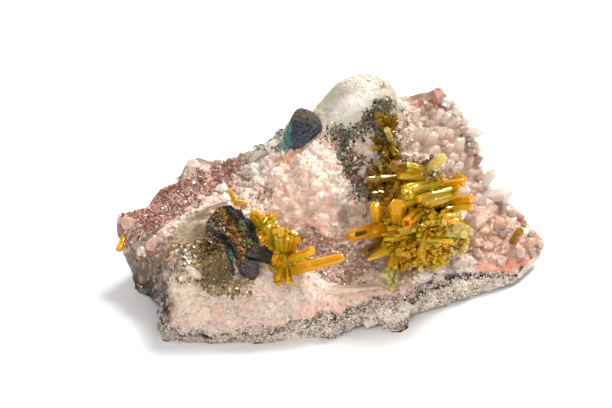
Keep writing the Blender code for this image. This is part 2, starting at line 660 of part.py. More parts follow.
def main():
    clear_scene()
    parts = new_collection("mimetite_specimen")
    cutters = new_collection("cutters")
    specimen = bpy.data.objects.new("specimen", None)
    parts.objects.link(specimen)
    materials = {name: new_material(name) for name in MATERIALS}
    block = Block()

    matrix = make_block("matrix", block, parts)
    thin_facets(matrix, BLOCK_FACETS)
    clearance = make_clearance(matrix, cutters)
    druse = new_collection("druse")
    make_druse(block, druse)
    join_pieces(matrix, druse)
    cut_away(matrix, make_ground(cutters))
    finish_node(matrix, materials["quartz"], parts, specimen)

    for name, (core, crystals) in MIMETITE_GROUPS.items():
        body = make_lump(name, block, core, parts, subdivisions=2)
        pieces = new_collection(name + "_crystals")
        for label, (base, tip, width) in crystals.items():
            make_crystal(f"{name}_{label}", base, tip, width, pieces, root=CRYSTAL_ROOT)
        join_pieces(body, pieces)
        cut_away(body, clearance)
        finish_node(body, materials["mimetite"], parts, specimen)
    for name, (base, tip, width) in MIMETITE_SINGLES.items():
        single = make_crystal(name, base, tip, width, parts)
        cut_away(single, clearance)
        finish_node(single, materials["mimetite"], parts, specimen)
    spray_rooms = make_spray_rooms(block, cutters)
    for name, pod in ORE_PODS.items():
        lump = make_lump(name, block, pod, parts, subdivisions=2)
        cut_away(lump, clearance)
        if name in ORE_IN_GOSSAN:
            for room in spray_rooms:
                cut_away(lump, room)
        finish_node(lump, materials["ore"], parts, specimen)
    gossan = make_lump("gossan", block, GOSSAN, parts)
    for room in [clearance, *spray_rooms, *make_ore_rooms(block, cutters)]:
        cut_away(gossan, room)
    finish_node(gossan, materials["gossan"], parts, specimen)


if __name__ == "__main__":
    main()
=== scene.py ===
"""A mimetite specimen, dressed: amber crystals on a broken block of pink and white quartz.

It is laid out as an add-on and run as a script. Every shape is a surface of two parameters or a
profile carried along an axis, worked out as whole arrays. Tables are in millimetres. Across the
block's broad face u runs to the right (+X), w runs up the lean and h stands out, as in the solids.
"""

import math

import bpy
import numpy as np
from bpy.props import FloatProperty, FloatVectorProperty, IntProperty, PointerProperty
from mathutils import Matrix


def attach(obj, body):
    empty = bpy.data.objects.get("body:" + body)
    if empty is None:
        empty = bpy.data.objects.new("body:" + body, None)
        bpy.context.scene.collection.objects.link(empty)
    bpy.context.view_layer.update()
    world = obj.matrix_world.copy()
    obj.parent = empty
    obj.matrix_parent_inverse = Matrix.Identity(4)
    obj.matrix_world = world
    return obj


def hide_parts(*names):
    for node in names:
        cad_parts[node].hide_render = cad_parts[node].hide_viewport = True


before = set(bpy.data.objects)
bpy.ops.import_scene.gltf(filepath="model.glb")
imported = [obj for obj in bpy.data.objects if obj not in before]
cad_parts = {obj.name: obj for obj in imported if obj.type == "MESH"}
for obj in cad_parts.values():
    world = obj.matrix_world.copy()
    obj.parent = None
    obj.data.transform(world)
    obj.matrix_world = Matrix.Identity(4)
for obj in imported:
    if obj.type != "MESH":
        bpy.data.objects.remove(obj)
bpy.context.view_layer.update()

bl_info = {
    "name": "Mimetite specimen",
    "version": (1, 0, 0),
    "blender": (4, 5, 0),
    "location": "View3D > Sidebar > Specimen",
    "description": "Amber crystals on a block of pink quartz, with its druses, gossan and ore",
    "category": "Object",
}

MM = 0.001
ALL_ROUND = 2 * math.pi

# The broad face: its lean, the directions of u, w and h, and its middle as (u, w)
FACE_LEAN = math.radians(30)
ACROSS = np.array([1.0, 0.0, 0.0])
UPWARD = np.array([0.0, math.sin(FACE_LEAN), math.cos(FACE_LEAN)])
OUTWARD = np.array([0.0, -math.cos(FACE_LEAN), math.sin(FACE_LEAN)])
FRAME = np.array([ACROSS, UPWARD, OUTWARD])
MIDDLE = np.array([-0.7, 7.1])

# The relief's power of distance, the samples of its rim and the block's least thickness
RELIEF_POWER = 1.5
RIM_SAMPLES = 72
THINNEST = 0.2

# The rim of the broad face, clockwise from the left end
RIM = {
    "left_end": [(-25.3, 0.0, 8.2), (-23.9, 1.0, 7.9), (-21.6, 2.5, 7.8)],
    "red_shoulder": [
        (-21.0, 3.0, 8.8), (-20.2, 3.5, 9.7), (-18.6, 4.0, 10.3),
        (-16.9, 4.5, 12.7), (-15.5, 5.0, 13.1),
    ],
    "left_ridge": [
        (-13.2, 5.0, 12.0), (-10.7, 5.5, 13.4), (-9.2, 5.5, 13.7), (-7.2, 6.0, 15.0),
        (-5.6, 6.0, 16.3), (-4.9, 6.5, 17.2), (-3.4, 7.0, 18.3), (-2.2, 7.0, 18.3),
    ],
    "white_knob": [
        (-1.3, 7.5, 19.4), (-0.3, 8.0, 20.4), (0.7, 8.0, 21.7), (2.1, 8.5, 22.2),
        (4.6, 9.0, 22.5), (5.8, 9.0, 21.8), (6.8, 9.0, 21.6), (7.4, 9.0, 20.6), (7.9, 9.0, 19.2),
    ],
    "horn": [
        (9.4, 9.5, 19.1), (11.7, 10.0, 19.4), (13.0, 10.0, 20.1), (13.8, 10.0, 19.4),
        (14.9, 10.5, 18.0),
    ],
    "druse_edge": [
        (15.8, 10.5, 16.9), (16.5, 10.3, 15.0), (17.5, 10.2, 13.7), (18.1, 10.0, 11.7),
        (18.4, 9.6, 9.9), (19.5, 8.6, 7.2), (20.9, 8.0, 5.8), (23.0, 6.8, 4.8), (24.2, 5.8, 3.7),
    ],
    "right_tip": [(25.4, 4.2, 3.0), (26.1, 3.0, 2.4), (25.5, 1.6, 1.6), (24.7, 0.6, 1.1)],
    "right_hem": [
        (21.9, -2.4, 0.7), (19.0, -3.8, 0.6), (17.2, -4.9, 0.1), (15.4, -5.8, 0.5),
        (11.9, -7.6, 0.4), (9.7, -8.9, 0.4),
    ],
    "foot": [
        (8.8, -9.6, 0.2), (8.5, -11.2, 0.0), (7.7, -12.6, 0.0), (6.8, -12.3, 0.0),
        (5.6, -11.5, 0.6),
    ],
    "front_hem": [
        (4.1, -11.5, 1.0), (2.3, -12.2, 0.6), (-0.2, -13.9, 0.0), (-1.7, -13.5, 0.6),
        (-4.5, -13.8, 0.3), (-8.0, -14.7, 0.0), (-10.1, -14.4, 0.3), (-13.8, -14.7, 0.0),
        (-14.9, -14.4, 0.3), (-18.4, -14.3, 0.0),
    ],
    "left_corner": [(-19.5, -13.3, 0.5), (-20.1, -12.0, 2.2), (-19.3, -9.4, 2.0)],
    "undercut": [
        (-20.3, -6.6, 0.3), (-23.1, -4.1, 0.3), (-23.7, -2.8, 2.2), (-24.9, -3.0, 5.9),
        (-25.4, -1.5, 6.9),
    ],
}

# Heights of the broad face, feature by feature
FACE = {
    "left_end_wall": [
        (-25.2, -2.0, 6.4), (-21.0, -5.5, 7.2), (-18.8, -7.5, 7.5), (-22.3, -5.0, 4.7),
        (-20.5, -6.5, 3.8),
    ],
    "left_shelf": [
        (-22.4, -2.0, 7.5), (-19.3, -4.5, 8.5), (-17.2, 1.0, 10.3), (-16.5, -2.5, 9.6),
        (-14.3, 0.5, 10.5),
    ],
    "nodule": [(-16.2, 3.5, 11.6)],
    "block_edge": [(-17.8, -11.5, 8.7), (-18.0, -13.0, 6.6), (-18.5, -14.0, 3.9)],
    "block_wall": [
        (-16.0, -14.6, 2.3), (-14.8, -13.0, 6.9), (-10.9, -14.8, 2.5), (-10.9, -13.0, 6.9),
    ],
    "gossan_seat": [
        (-14.9, -10.0, 9.4), (-13.3, -7.5, 10.3), (-11.1, -4.0, 11.4), (-10.4, -11.0, 8.4),
        (-9.3, -8.0, 9.8),
    ],
    "front_slope": [
        (-7.0, -14.8, 2.5), (-7.0, -12.6, 6.4), (-3.6, -14.2, 2.7), (-3.6, -11.5, 5.7),
        (-4.2, -8.6, 6.9), (-5.4, -6.0, 8.3),
    ],
    "bench": [
        (-0.2, -13.8, 2.2), (-0.2, -11.0, 4.4), (0.4, -8.5, 4.7), (4.3, -12.4, 3.3),
        (4.3, -11.3, 4.1), (4.6, -9.0, 4.3),
    ],
    "recess": [(0.4, -6.0, 5.3), (3.9, -6.0, 5.3), (1.0, -5.0, 6.6)],
    "pink_boss": [
        (-0.8, -4.8, 8.6), (-3.6, -4.8, 9.6), (-7.1, -3.5, 10.2), (-3.6, -3.2, 12.0),
        (-0.2, -3.2, 11.3), (-8.3, -0.5, 12.5), (-6.6, 0.0, 13.5), (-3.1, -1.0, 14.1),
        (0.1, -1.0, 13.4), (-3.7, 1.0, 15.2), (-0.7, 1.0, 14.7), (1.6, -2.5, 10.9),
    ],
    "left_slope": [(-10.8, 2.0, 11.7), (-12.5, 0.0, 10.8), (-8.2, 3.5, 13.6), (-5.4, 4.0, 15.1)],
    "gritty_band": [
        (2.4, -1.2, 8.8), (2.5, 1.0, 11.6), (2.2, 2.8, 14.0), (4.8, 3.8, 15.5), (5.2, 5.5, 17.9),
        (1.0, 4.0, 16.7),
    ],
    "knob_front": [(2.2, 5.2, 20.0), (-0.1, 5.2, 18.3), (4.0, 6.5, 21.3), (6.4, 7.2, 20.3)],
    "cluster_seat": [
        (8.0, -5.5, 5.0), (5.7, -3.5, 7.5), (9.2, -3.0, 7.2), (6.3, -0.5, 9.8), (10.5, 0.5, 9.9),
        (8.2, 2.8, 12.6), (8.8, 5.0, 15.5),
    ],
    "right_foot": [
        (7.8, -11.2, 2.8), (7.8, -10.0, 4.0), (11.4, -8.6, 2.8), (11.4, -5.8, 5.2),
        (15.2, -6.2, 2.5), (15.3, -3.8, 4.9), (19.0, -4.0, 2.3), (19.0, -2.8, 3.3),
    ],
    "druse_slope": [
        (12.8, -2.8, 6.3), (13.5, 1.0, 8.9), (13.0, 4.0, 12.0), (11.9, 6.8, 15.2),
        (13.1, 8.5, 17.7), (15.5, -1.0, 5.9), (16.5, 3.0, 7.7), (16.3, 6.5, 10.6),
        (15.4, 8.4, 13.7), (19.2, -0.2, 4.8), (19.9, 3.8, 5.9), (22.7, 2.8, 4.1),
    ],
    "right_lobe": [(22.3, -1.6, 2.6), (22.7, 0.3, 3.4), (24.5, 1.2, 2.8)],
}

# Heights of the back and the underside
BACK = {
    "resting_pads": [
        (-14.0, -9.0, -0.7), (-3.0, -3.0, -0.9), (9.0, -5.0, -0.5), (-5.0, 4.0, -0.7),
        (10.0, 4.0, -0.6),
    ],
    "hollows": [
        (-16.0, -2.0, 0.9), (-9.0, -9.5, 0.4), (3.0, -8.0, 0.6), (3.0, 1.5, 0.5), (17.0, 1.0, 0.5),
    ],
    "back_hem": [
        (-14.0, 4.5, 1.6), (-8.0, 8.5, 0.6), (5.0, 11.0, 0.6), (15.0, 8.5, 1.0), (20.5, 5.0, 1.4),
    ],
    "back_face": [
        (-20.5, 4.2, 3.5), (-12.5, 8.8, 5.5), (-3.0, 12.0, 8.5), (8.0, 14.0, 8.0),
        (15.5, 13.2, 6.0),
    ],
    "back_top": [(-5.0, 10.0, 13.5), (3.0, 12.0, 16.0), (11.5, 13.0, 14.0)],
}

# Where the host rock's crust meets the quartz above it, as (u, w), and the groove along it
SEAM = [
    (-26.0, -3.0), (-19.3, -5.5), (-16.0, -6.1), (-12.9, -6.4), (-8.9, -5.9), (-5.9, -5.5), (-2.4, -4.8),
    (0.8, -4.1), (4.6, -2.6), (7.9, -2.2), (10.8, -1.0), (14.9, -0.3), (18.1, 0.1), (24.0, -0.2),
]
SEAM_DEPTH = 0.5
SEAM_WIDTH = 0.45

# Broken rock: wavelength and height of each size, and how much of it is left at the rim
CRAGS = [(7.0, 0.5), (3.2, 0.4), (1.7, 0.18)]
CRAGS_AT_RIM = 0.35

# Tones as they look in daylight, red, green and blue out of 255
TONES = {
    "milk": (216, 208, 194),
    "bone": (202, 192, 175),
    "white": (236, 232, 226),
    "peach": (232, 202, 186),
    "pale_pink": (226, 198, 182),
    "pale_peach": (224, 196, 174),
    "cream": (216, 196, 172),
    "blush": (216, 192, 178),
    "druse_pale": (226, 212, 202),
    "druse_pink": (207, 190, 177),
    "druse_brown": (182, 146, 124),
    "dusty_pink": (196, 156, 140),
    "salmon": (230, 184, 164),
    "salmon_bright": (220, 138, 110),
    "salmon_brown": (182, 134, 112),
    "brown_pink": (182, 142, 122),
    "red_brown": (170, 112, 96),
    "red": (170, 84, 64),
    "orange_stain": (222, 156, 112),
    "umber": (134, 112, 90),
    "taupe": (114, 90, 68),
    "shadow_brown": (66, 50, 36),
    "moss_grey": (164, 160, 138),
    "grey_quartz": (196, 186, 172),
    "tan_quartz": (152, 129, 102),
    "clear_grey": (210, 200, 188),
    "smoke": (100, 96, 84),
    "olive_grit": (104, 96, 66),
    "rust_grit": (150, 104, 70),
    "ochre": (160, 128, 70),
    "sand": (116, 101, 70),
    "bark": (92, 64, 26),
    "gold_earth": (176, 126, 38),
    "host": (214, 200, 184),
    "host_dark": (138, 122, 108),
    "teal": (96, 150, 134),
    "green": (36, 128, 88),
    "turquoise": (40, 170, 150),
    "black": (36, 33, 34),
    "blue_black": (33, 35, 46),
    "amber": (255, 193, 24),
    "orange": (255, 180, 12),
    "gold": (255, 202, 38),
    "lemon": (255, 232, 146),
    "olive": (172, 132, 20),
    "leaf": (104, 122, 84),
    "lime": (92, 118, 52),
    "pod_brown": (44, 36, 33),
    "mass": (236, 168, 22),
    "shade_quartz": (140, 122, 104),
    "dark_window": (84, 60, 10),
}

# Patches of the broad face: middle (u, w), reach across and up, turn in degrees, tone, strength
PATCHES = {
    "boss": ((-3.6, 9.4), (6.4, 5.6), 0, "peach", 0.9),
    "boss_cloud": ((-3.0, 8.4), (3.6, 2.4), 20, "pale_pink", 0.6),
    "left_band_grey": ((-10.5, 12.4), (4.6, 2.3), 25, "grey_quartz", 0.8),
    "left_band_brown": ((-9.4, 13.9), (2.6, 0.8), 20, "umber", 0.7),
    "left_slope": ((-11.6, 11.0), (2.6, 1.4), 15, "brown_pink", 0.6),
    "upper_ledge": ((-6.4, 15.9), (2.9, 1.3), 35, "moss_grey", 0.8),
    "teal_skirt": ((-4.9, 15.0), (1.7, 0.7), 25, "teal", 0.7),
    "knob": ((2.6, 20.2), (5.6, 3.9), 10, "bone", 1.0),
    "knob_cloud": ((2.4, 20.3), (2.6, 1.6), 20, "white", 0.5),
    "knob_foot": ((4.8, 18.6), (2.6, 1.2), 30, "blush", 0.6),
    "knob_dark": ((6.0, 22.4), (0.9, 0.5), 0, "smoke", 0.8),
    "horn": ((12.8, 21.6), (1.8, 1.2), 0, "blush", 0.8),
    "white_left": ((-13.2, 10.2), (0.9, 0.9), 0, "white", 0.9),
    "white_right": ((-10.2, 9.3), (0.8, 0.6), 0, "white", 0.9),
    "tan_smooth": ((-15.8, 4.9), (3.0, 2.3), 20, "tan_quartz", 1.0),
    "wall_crumb": ((-15.6, 1.6), (2.6, 2.2), 20, "sand", 0.8),
    "wall_bark": ((-16.4, 1.0), (1.0, 1.6), 20, "umber", 0.7),
    "nodule": ((-15.6, 13.4), (1.5, 1.1), 0, "blush", 0.8),
    "nodule_brown": ((-15.4, 10.8), (2.0, 0.9), 15, "salmon_brown", 0.8),
    "nodule_edge": ((-17.5, 12.4), (0.5, 1.2), -30, "umber", 0.6),
    "left_nub": ((-24.2, 5.8), (1.6, 1.6), 0, "dusty_pink", 0.8),
    # Painted shade: the left wall is darkened for the shade it stands in, and the hollow below it is partly
    # darker rock and partly painted shade
    "left_wall": ((-21.3, 1.4), (3.6, 4.0), 0, "taupe", 1.0),
    "left_hollow": ((-21.4, -2.6), (4.2, 2.6), 0, "shadow_brown", 1.0),
    "left_chunks": ((-20.2, 3.4), (1.8, 1.4), 0, "brown_pink", 0.3),
    "boss_salmon": ((-8.9, 7.2), (1.6, 2.0), 0, "salmon", 0.45),
    "boss_glassy": ((1.1, 8.2), (1.0, 3.2), 15, "clear_grey", 0.8),
    "boss_brown": ((-8.7, 9.0), (2.0, 1.4), 20, "brown_pink", 0.6),
    "boss_foot": ((-2.5, 3.2), (5.4, 1.9), -5, "brown_pink", 0.85),
    "gritty": ((2.0, 14.6), (1.2, 2.4), 10, "olive_grit", 0.8),
    "rust": ((3.4, 12.2), (1.9, 1.9), 0, "rust_grit", 0.7),
    "wall_cream": ((-15.6, -1.8), (2.6, 3.0), 0, "cream", 0.7),
    "wall_stain": ((-12.8, -0.5), (3.8, 1.6), 0, "sand", 0.7),
    "gossan_bed": ((-12.0, 3.6), (4.4, 4.4), 0, "bark", 0.7),
    "bench": ((2.1, -1.7), (4.0, 0.7), 6, "pale_peach", 0.9),
    "recess": ((1.4, 1.6), (3.6, 2.2), 0, "brown_pink", 0.9),
    # Painted shade: recess_dark darkens the recess
    "recess_dark": ((3.0, 1.2), (1.6, 1.2), 0, "umber", 0.6),
    # Painted shade: under_cluster darkens the ground under the cluster
    "under_cluster": ((8.8, 4.0), (3.6, 4.0), 0, "umber", 0.6),
    "druse_low": ((18.6, 4.6), (4.6, 3.2), 0, "druse_brown", 0.9),
    "right_base": ((10.4, 0.0), (1.6, 0.9), 0, "clear_grey", 0.8),
    "salmon_band": ((21.0, 0.8), (3.6, 1.0), 12, "salmon_bright", 0.7),
    "right_lobe": ((24.4, 3.2), (2.2, 2.0), 0, "brown_pink", 0.7),
    "black_lens": ((14.0, -0.2), (1.1, 0.4), 8, "black", 0.9),
}

# Bands along a path on the face: places (u, w), half width, tone, strength
BANDS = {
    "knob_rim": ([(-1.4, 19.2), (0.2, 21.3), (2.4, 22.7), (5.0, 23.0), (7.6, 21.2)], 1.2, "moss_grey", 0.55),
    "horn_red": ([(10.2, 20.2), (11.8, 20.6), (13.8, 20.6)], 0.5, "red", 0.9),
    "horn_ledge": ([(7.6, 20.9), (9.6, 21.2), (12.2, 21.8)], 0.5, "moss_grey", 0.7),
    "boss_orange": ([(-6.8, 12.6), (-5.2, 13.6), (-3.4, 14.3)], 0.5, "orange_stain", 0.7),
    "dark_band": ([(2.6, 16.6), (4.2, 17.6), (5.2, 18.6), (6.0, 19.4)], 1.0, "smoke", 0.75),
    "crest_band": ([(5.8, 18.6), (6.6, 17.0), (7.0, 15.2), (7.2, 12.6)], 1.4, "olive_grit", 0.8),
    "gritty_low": ([(1.0, 16.4), (2.0, 14.2), (2.6, 12.0), (4.4, 9.6)], 1.2, "olive_grit", 0.75),
    "salmon_hem": ([(-3.4, -3.6), (0.4, -3.2), (4.2, -1.9), (7.0, -1.4)], 0.6, "salmon", 0.7),
    "orange_hem": ([(-12.0, -5.2), (-8.6, -4.9), (-5.0, -4.4)], 0.4, "salmon", 0.45),
    "red_vein": ([(9.6, -0.6), (11.2, 0.1), (12.6, 0.9)], 0.35, "red", 0.8),
    "hem_red": ([(17.4, 0.9), (20.2, 0.9), (23.2, 1.6)], 0.5, "salmon_bright", 0.7),
    "boss_ridge": ([(-0.9, 12.2), (0.4, 11.0), (1.6, 9.0)], 0.5, "milk", 0.8),
}

# Where the red-brown druse grows on the left shelf: paths of (u, w) and their half widths
RED_BEDS = [
    ([(-24.4, 5.0), (-22.6, 6.2), (-20.8, 7.4), (-18.6, 8.6), (-16.4, 9.8), (-14.0, 10.9), (-12.6, 12.2)],
     1.9),
    ([(-20.6, 9.4), (-18.6, 11.0)], 0.9),
]

# Patches as middle (u, w), reach and turn in degrees: smooth quartz, and where crystals are packed
SMOOTH_TAN = ((-15.2, 4.8), (2.6, 2.5), 20)
SMOOTH_KNOB = ((2.6, 20.4), (5.4, 3.4), 10)
SMOOTH_BOSS = ((-2.6, 8.6), (5.4, 4.6), 0)
PACKED_BOSS = ((-2.6, 8.6), (5.6, 4.8), 0)

# Quartz crystals packed over the right slope: size of their cells, how steep, how far down, seed
PACKED = [(1.5, 1.15, 0.0, 201), (0.9, 1.2, 0.25, 211)]

# Single blocks of quartz on the face: middle (u, w), reach along, across and out, turn, tone
BLOCKS = {
    "grey_prism": ((-13.9, 7.8), (1.5, 0.55, 0.2), 35, "shade_quartz"),
    "white_left": ((-13.0, 10.2), (0.9, 0.8, 0.4), 20, "clear_grey"),
    "white_right": ((-10.2, 9.2), (0.8, 0.5, 0.35), 0, "milk"),
    "bench_slab": ((1.6, -1.6), (3.2, 0.7, 0.5), 6, "pale_peach"),
    "quartz_chunk": ((10.4, 0.1), (1.3, 0.8, 0.6), 10, "clear_grey"),
    "quartz_chip": ((12.2, 0.9), (0.8, 0.6, 0.5), 30, "druse_pale"),
    "grey_block": ((8.0, 19.8), (0.8, 0.8, 0.5), 0, "grey_quartz"),
    "grit_block": ((3.9, 12.4), (0.8, 0.9, 0.5), 0, "blush"),
    "left_chunk_a": ((-20.3, 3.8), (1.0, 0.8, 0.35), 30, "dusty_pink"),
    "left_chunk_b": ((-21.7, 2.6), (0.8, 0.7, 0.3), 10, "blush"),
    "wall_chunk": ((-15.8, 0.6), (0.9, 0.5, 0.35), -40, "cream"),
    "nodule_top": ((-15.9, 13.0), (0.7, 0.6, 0.3), 0, "blush"),
    "nodule_side": ((-14.8, 13.6), (0.6, 0.5, 0.3), 30, "brown_pink"),
    "nub": ((-24.2, 6.1), (0.9, 0.8, 0.4), 0, "dusty_pink"),
    "horn_nub": ((12.9, 21.4), (0.75, 0.6, 0.5), 0, "brown_pink"),
    "ledge_white": ((-6.8, 15.2), (0.8, 0.5, 0.35), 30, "milk"),
    "ledge_grey": ((-8.9, 14.0), (1.2, 0.6, 0.3), 25, "grey_quartz"),
}
STONE_PLANES = 12
LONGEST_SIDE = 1.35

# Sugary grains over the face
SUGAR_AREA = ((-26.5, -8.0), (27.0, 24.0))
SUGAR_TONES = {"peach": 4, "blush": 3, "clear_grey": 3, "white": 1, "brown_pink": 1.5, "salmon": 0.8}

# Quartz crystals that stand up from the right slope: spacing, share kept, width, rise, nearest and
# farthest as shares of the way to the rim
DRUSE_SIZES = [
    (2.0, 0.55, (1.1, 1.9), (0.6, 1.3), (0.0, 0.96)),
    (1.1, 0.8, (0.7, 1.3), (0.4, 1.2), (0.93, 0.985)),
]
DRUSE_AREA = ((7.5, -1.0), (26.5, 23.0))
DRUSE_TOWARD = (0.3, -0.1, 0.3)
DRUSE_TONES = {"druse_pink": 4, "druse_pale": 6, "clear_grey": 3, "druse_brown": 0.6}
CLUSTER_SHADOW = (5.6, 6.6)

# Larger quartz crystals along the right edge as (base, tip, width across)
QUARTZ_POINTS = {
    "edge_high": ((15.2, 9.6, 14.5), (18.7, 9.4, 14.1), 1.35),
    "edge_slim": ((18.6, 7.9, 7.4), (20.1, 8.3, 9.9), 1.3),
    "edge_broad": ((18.4, 7.2, 6.4), (22.4, 6.6, 7.4), 1.9),
    "ridge_a": ((13.6, 9.2, 17.8), (14.3, 10.1, 18.9), 1.3),
    "ridge_b": ((14.8, 9.6, 16.6), (15.7, 10.2, 17.7), 1.3),
    "ridge_c": ((15.8, 9.8, 15.0), (17.0, 10.5, 15.9), 1.2),
    "ridge_d": ((17.2, 9.6, 11.6), (18.7, 9.9, 11.6), 1.3),
    "ridge_e": ((17.6, 9.2, 9.0), (18.9, 9.6, 9.6), 1.2),
    "ridge_f": ((20.8, 7.2, 5.0), (22.0, 7.6, 6.2), 1.2),
    "ridge_g": ((22.4, 6.2, 4.2), (23.7, 6.5, 5.0), 1.2),
}

# Patches of the recess where tiny crystals grow
RECESS_BEDS = [((1.4, 1.4), (4.0, 2.4), 0), ((-2.5, 3.4), (5.6, 2.0), -5)]

# Beds of tiny crystals: corners of the area, spacing and fullness as shares, widths, rises, tones
# with shares, their spread, how light they are, finish and its roughness
TINY_BEDS = {
    "red": (
        ((-25.5, 2.0), (-11.5, 14.5)), 1.0, 1.1, (0.18, 0.42), (0.1, 0.35),
        {"red_brown": 5, "dusty_pink": 5, "salmon_brown": 3, "red": 1.2, "blush": 3, "white": 0.6},
        0.14, 0.7, "red_quartz", 0.16,
    ),
    "recess": (
        ((-8.5, -1.5), (6.0, 6.0)), 1.15, 1.0, (0.22, 0.5), (0.1, 0.4),
        {"brown_pink": 5, "blush": 4, "salmon_brown": 3, "white": 0.8, "umber": 1.5},
        0.12, 1.0, "brown_quartz", 0.18,
    ),
}

# The host rock's crust: columns along the seam, rows down it, the bearings that it spans, how far
# it is lifted off the block, rooted in it and sunk at its edges, the shares of the way to the rim
# between which it starts and where it ends, which of its rows the inner side takes, the painted
# shade of its rows from the lip down, and the tones of its sand
CRUST_COLUMNS = 520
CRUST_ROWS = 46
CRUST_BEARINGS = (-2.68, -0.16)
CRUST_LIFT = 0.38
CRUST_ROOT = 0.7
CRUST_SUNK = 0.05
CRUST_START = (0.1, 0.965)
CRUST_END = 1.06
INNER_ROW_STEP = 6
LIP_SHADE = (1.0, 1.0, 0.9, 0.6, 0.3)
SAND_TONES = {
    "host": 6, "milk": 2.5, "white": 0.8, "host_dark": 3, "black": 0.6, "dusty_pink": 1.5, "green": 0.1,
}

# Grit on the face: path of (u, w), half width, spacing, least and most size, tones with shares
# White grains in these tones stand partly for white quartz and partly for sparkles: painted glints
GRIT = {
    "dark_band": ([(2.0, 16.6), (4.0, 17.6), (5.0, 18.8), (6.2, 19.8)], 1.3, 0.27, (0.25, 0.6),
        {"smoke": 5, "umber": 4, "black": 4, "olive_grit": 5, "green": 0.8, "host": 1.5, "milk": 0.7}),
    "crest_band": ([(6.0, 18.8), (6.6, 17.0), (7.0, 15.2), (7.6, 12.8)], 1.5, 0.28, (0.2, 0.55),
        {"olive_grit": 5, "smoke": 4, "gold_earth": 3, "bark": 2, "brown_pink": 2, "white": 1, "green": 0.6}),
    "crest_side": ([(8.4, 19.2), (8.8, 17.4), (8.2, 15.6)], 0.7, 0.32, (0.2, 0.45),
        {"gold_earth": 3, "rust_grit": 3, "blush": 4, "olive_grit": 1.5, "white": 1}),
    "gritty": ([(0.6, 16.8), (1.8, 14.4), (2.4, 12.4), (3.4, 10.6), (4.8, 9.2)], 1.5, 0.27, (0.2, 0.5),
        {"olive_grit": 5, "smoke": 4, "brown_pink": 4, "green": 2, "rust_grit": 2, "white": 1, "black": 3}),
    "knob_foot": ([(-1.0, 16.6), (1.4, 17.2), (3.4, 17.6)], 0.7, 0.4, (0.2, 0.45),
        {"moss_grey": 5, "green": 1, "smoke": 2, "milk": 3}),
    "rust": ([(3.2, 13.4), (4.4, 11.8)], 1.2, 0.3, (0.25, 0.6),
        {"rust_grit": 4, "blush": 4, "olive_grit": 3, "bark": 2, "white": 1}),
    "moss_ledge": ([(-8.0, 15.0), (-6.2, 16.2), (-4.8, 17.0)], 0.9, 0.32, (0.25, 0.6),
        {"moss_grey": 5, "white": 2, "teal": 1.5, "smoke": 3, "milk": 2}),
    "pod_skirt": ([(-6.2, 14.6), (-4.6, 15.0), (-2.8, 15.0)], 0.5, 0.28, (0.2, 0.5),
        {"teal": 5, "turquoise": 0.5, "moss_grey": 3, "smoke": 2}),
    "pod_side": ([(-1.6, 17.6), (-1.4, 15.8)], 0.4, 0.3, (0.2, 0.4),
        {"gold_earth": 2, "moss_grey": 3, "smoke": 1}),
    "left_band": ([(-12.6, 12.6), (-9.6, 13.8), (-7.6, 14.8)], 0.7, 0.36, (0.25, 0.6),
        {"umber": 4, "grey_quartz": 4, "brown_pink": 2, "white": 1}),
    "boss_corner": ([(-9.6, 8.6), (-7.4, 9.4)], 0.9, 0.34, (0.2, 0.5),
        {"umber": 3, "brown_pink": 4, "white": 1, "smoke": 1, "salmon": 2}),
    "turquoise": ([(-9.4, 0.9), (-8.2, 0.9)], 0.4, 0.25, (0.2, 0.4),
        {"turquoise": 4, "teal": 3, "clear_grey": 3}),
    "gossan_left": ([(-17.6, 3.0), (-16.0, 3.0)], 1.1, 0.3, (0.25, 0.6),
        {"white": 2, "umber": 4, "milk": 2, "smoke": 2, "gold_earth": 2, "bark": 3}),
    "gossan_hem": ([(-16.2, 0.6), (-12.4, -1.2), (-9.4, -0.6)], 1.2, 0.3, (0.2, 0.5),
        {"ochre": 5, "cream": 3, "gold_earth": 3, "bark": 2, "sand": 3, "white": 0.6}),
    # The shadow_brown grains along the seam are painted shade in its slot
    "seam_left": ([(-19.0, -5.3), (-12.9, -6.2), (-5.9, -5.3)], 0.3, 0.28, (0.15, 0.4),
        {"host": 4, "shadow_brown": 4, "black": 2, "salmon": 2, "green": 0.3}),
    "seam_middle": ([(-5.9, -5.3), (0.8, -3.9), (7.9, -2.0)], 0.35, 0.28, (0.15, 0.4),
        {"host": 4, "shadow_brown": 3, "black": 1, "salmon": 3, "red": 1}),
    "seam_right": ([(7.9, -2.0), (14.9, -0.1), (22.0, 0.1)], 0.4, 0.28, (0.15, 0.45),
        {"host": 4, "smoke": 3, "black": 3, "salmon": 2, "green": 0.8, "white": 2}),
    "malachite_left": ([(-19.2, -5.8), (-18.2, -6.1)], 0.4, 0.25, (0.2, 0.4),
        {"green": 3, "teal": 3, "host": 3}),
    "malachite_right": ([(17.6, 0.1), (20.0, -0.1)], 0.3, 0.28, (0.2, 0.4),
        {"green": 3, "teal": 1, "host": 3}),
    "right_base": ([(8.8, -0.8), (11.6, 0.4), (13.2, 1.2)], 0.8, 0.36, (0.3, 0.8),
        {"blush": 4, "white": 3, "red": 1.2, "brown_pink": 3, "clear_grey": 3}),
    "black_lens": ([(13.2, -0.3), (14.8, 0.0)], 0.35, 0.22, (0.25, 0.5),
        {"black": 6, "smoke": 3, "green": 0.5}),
}

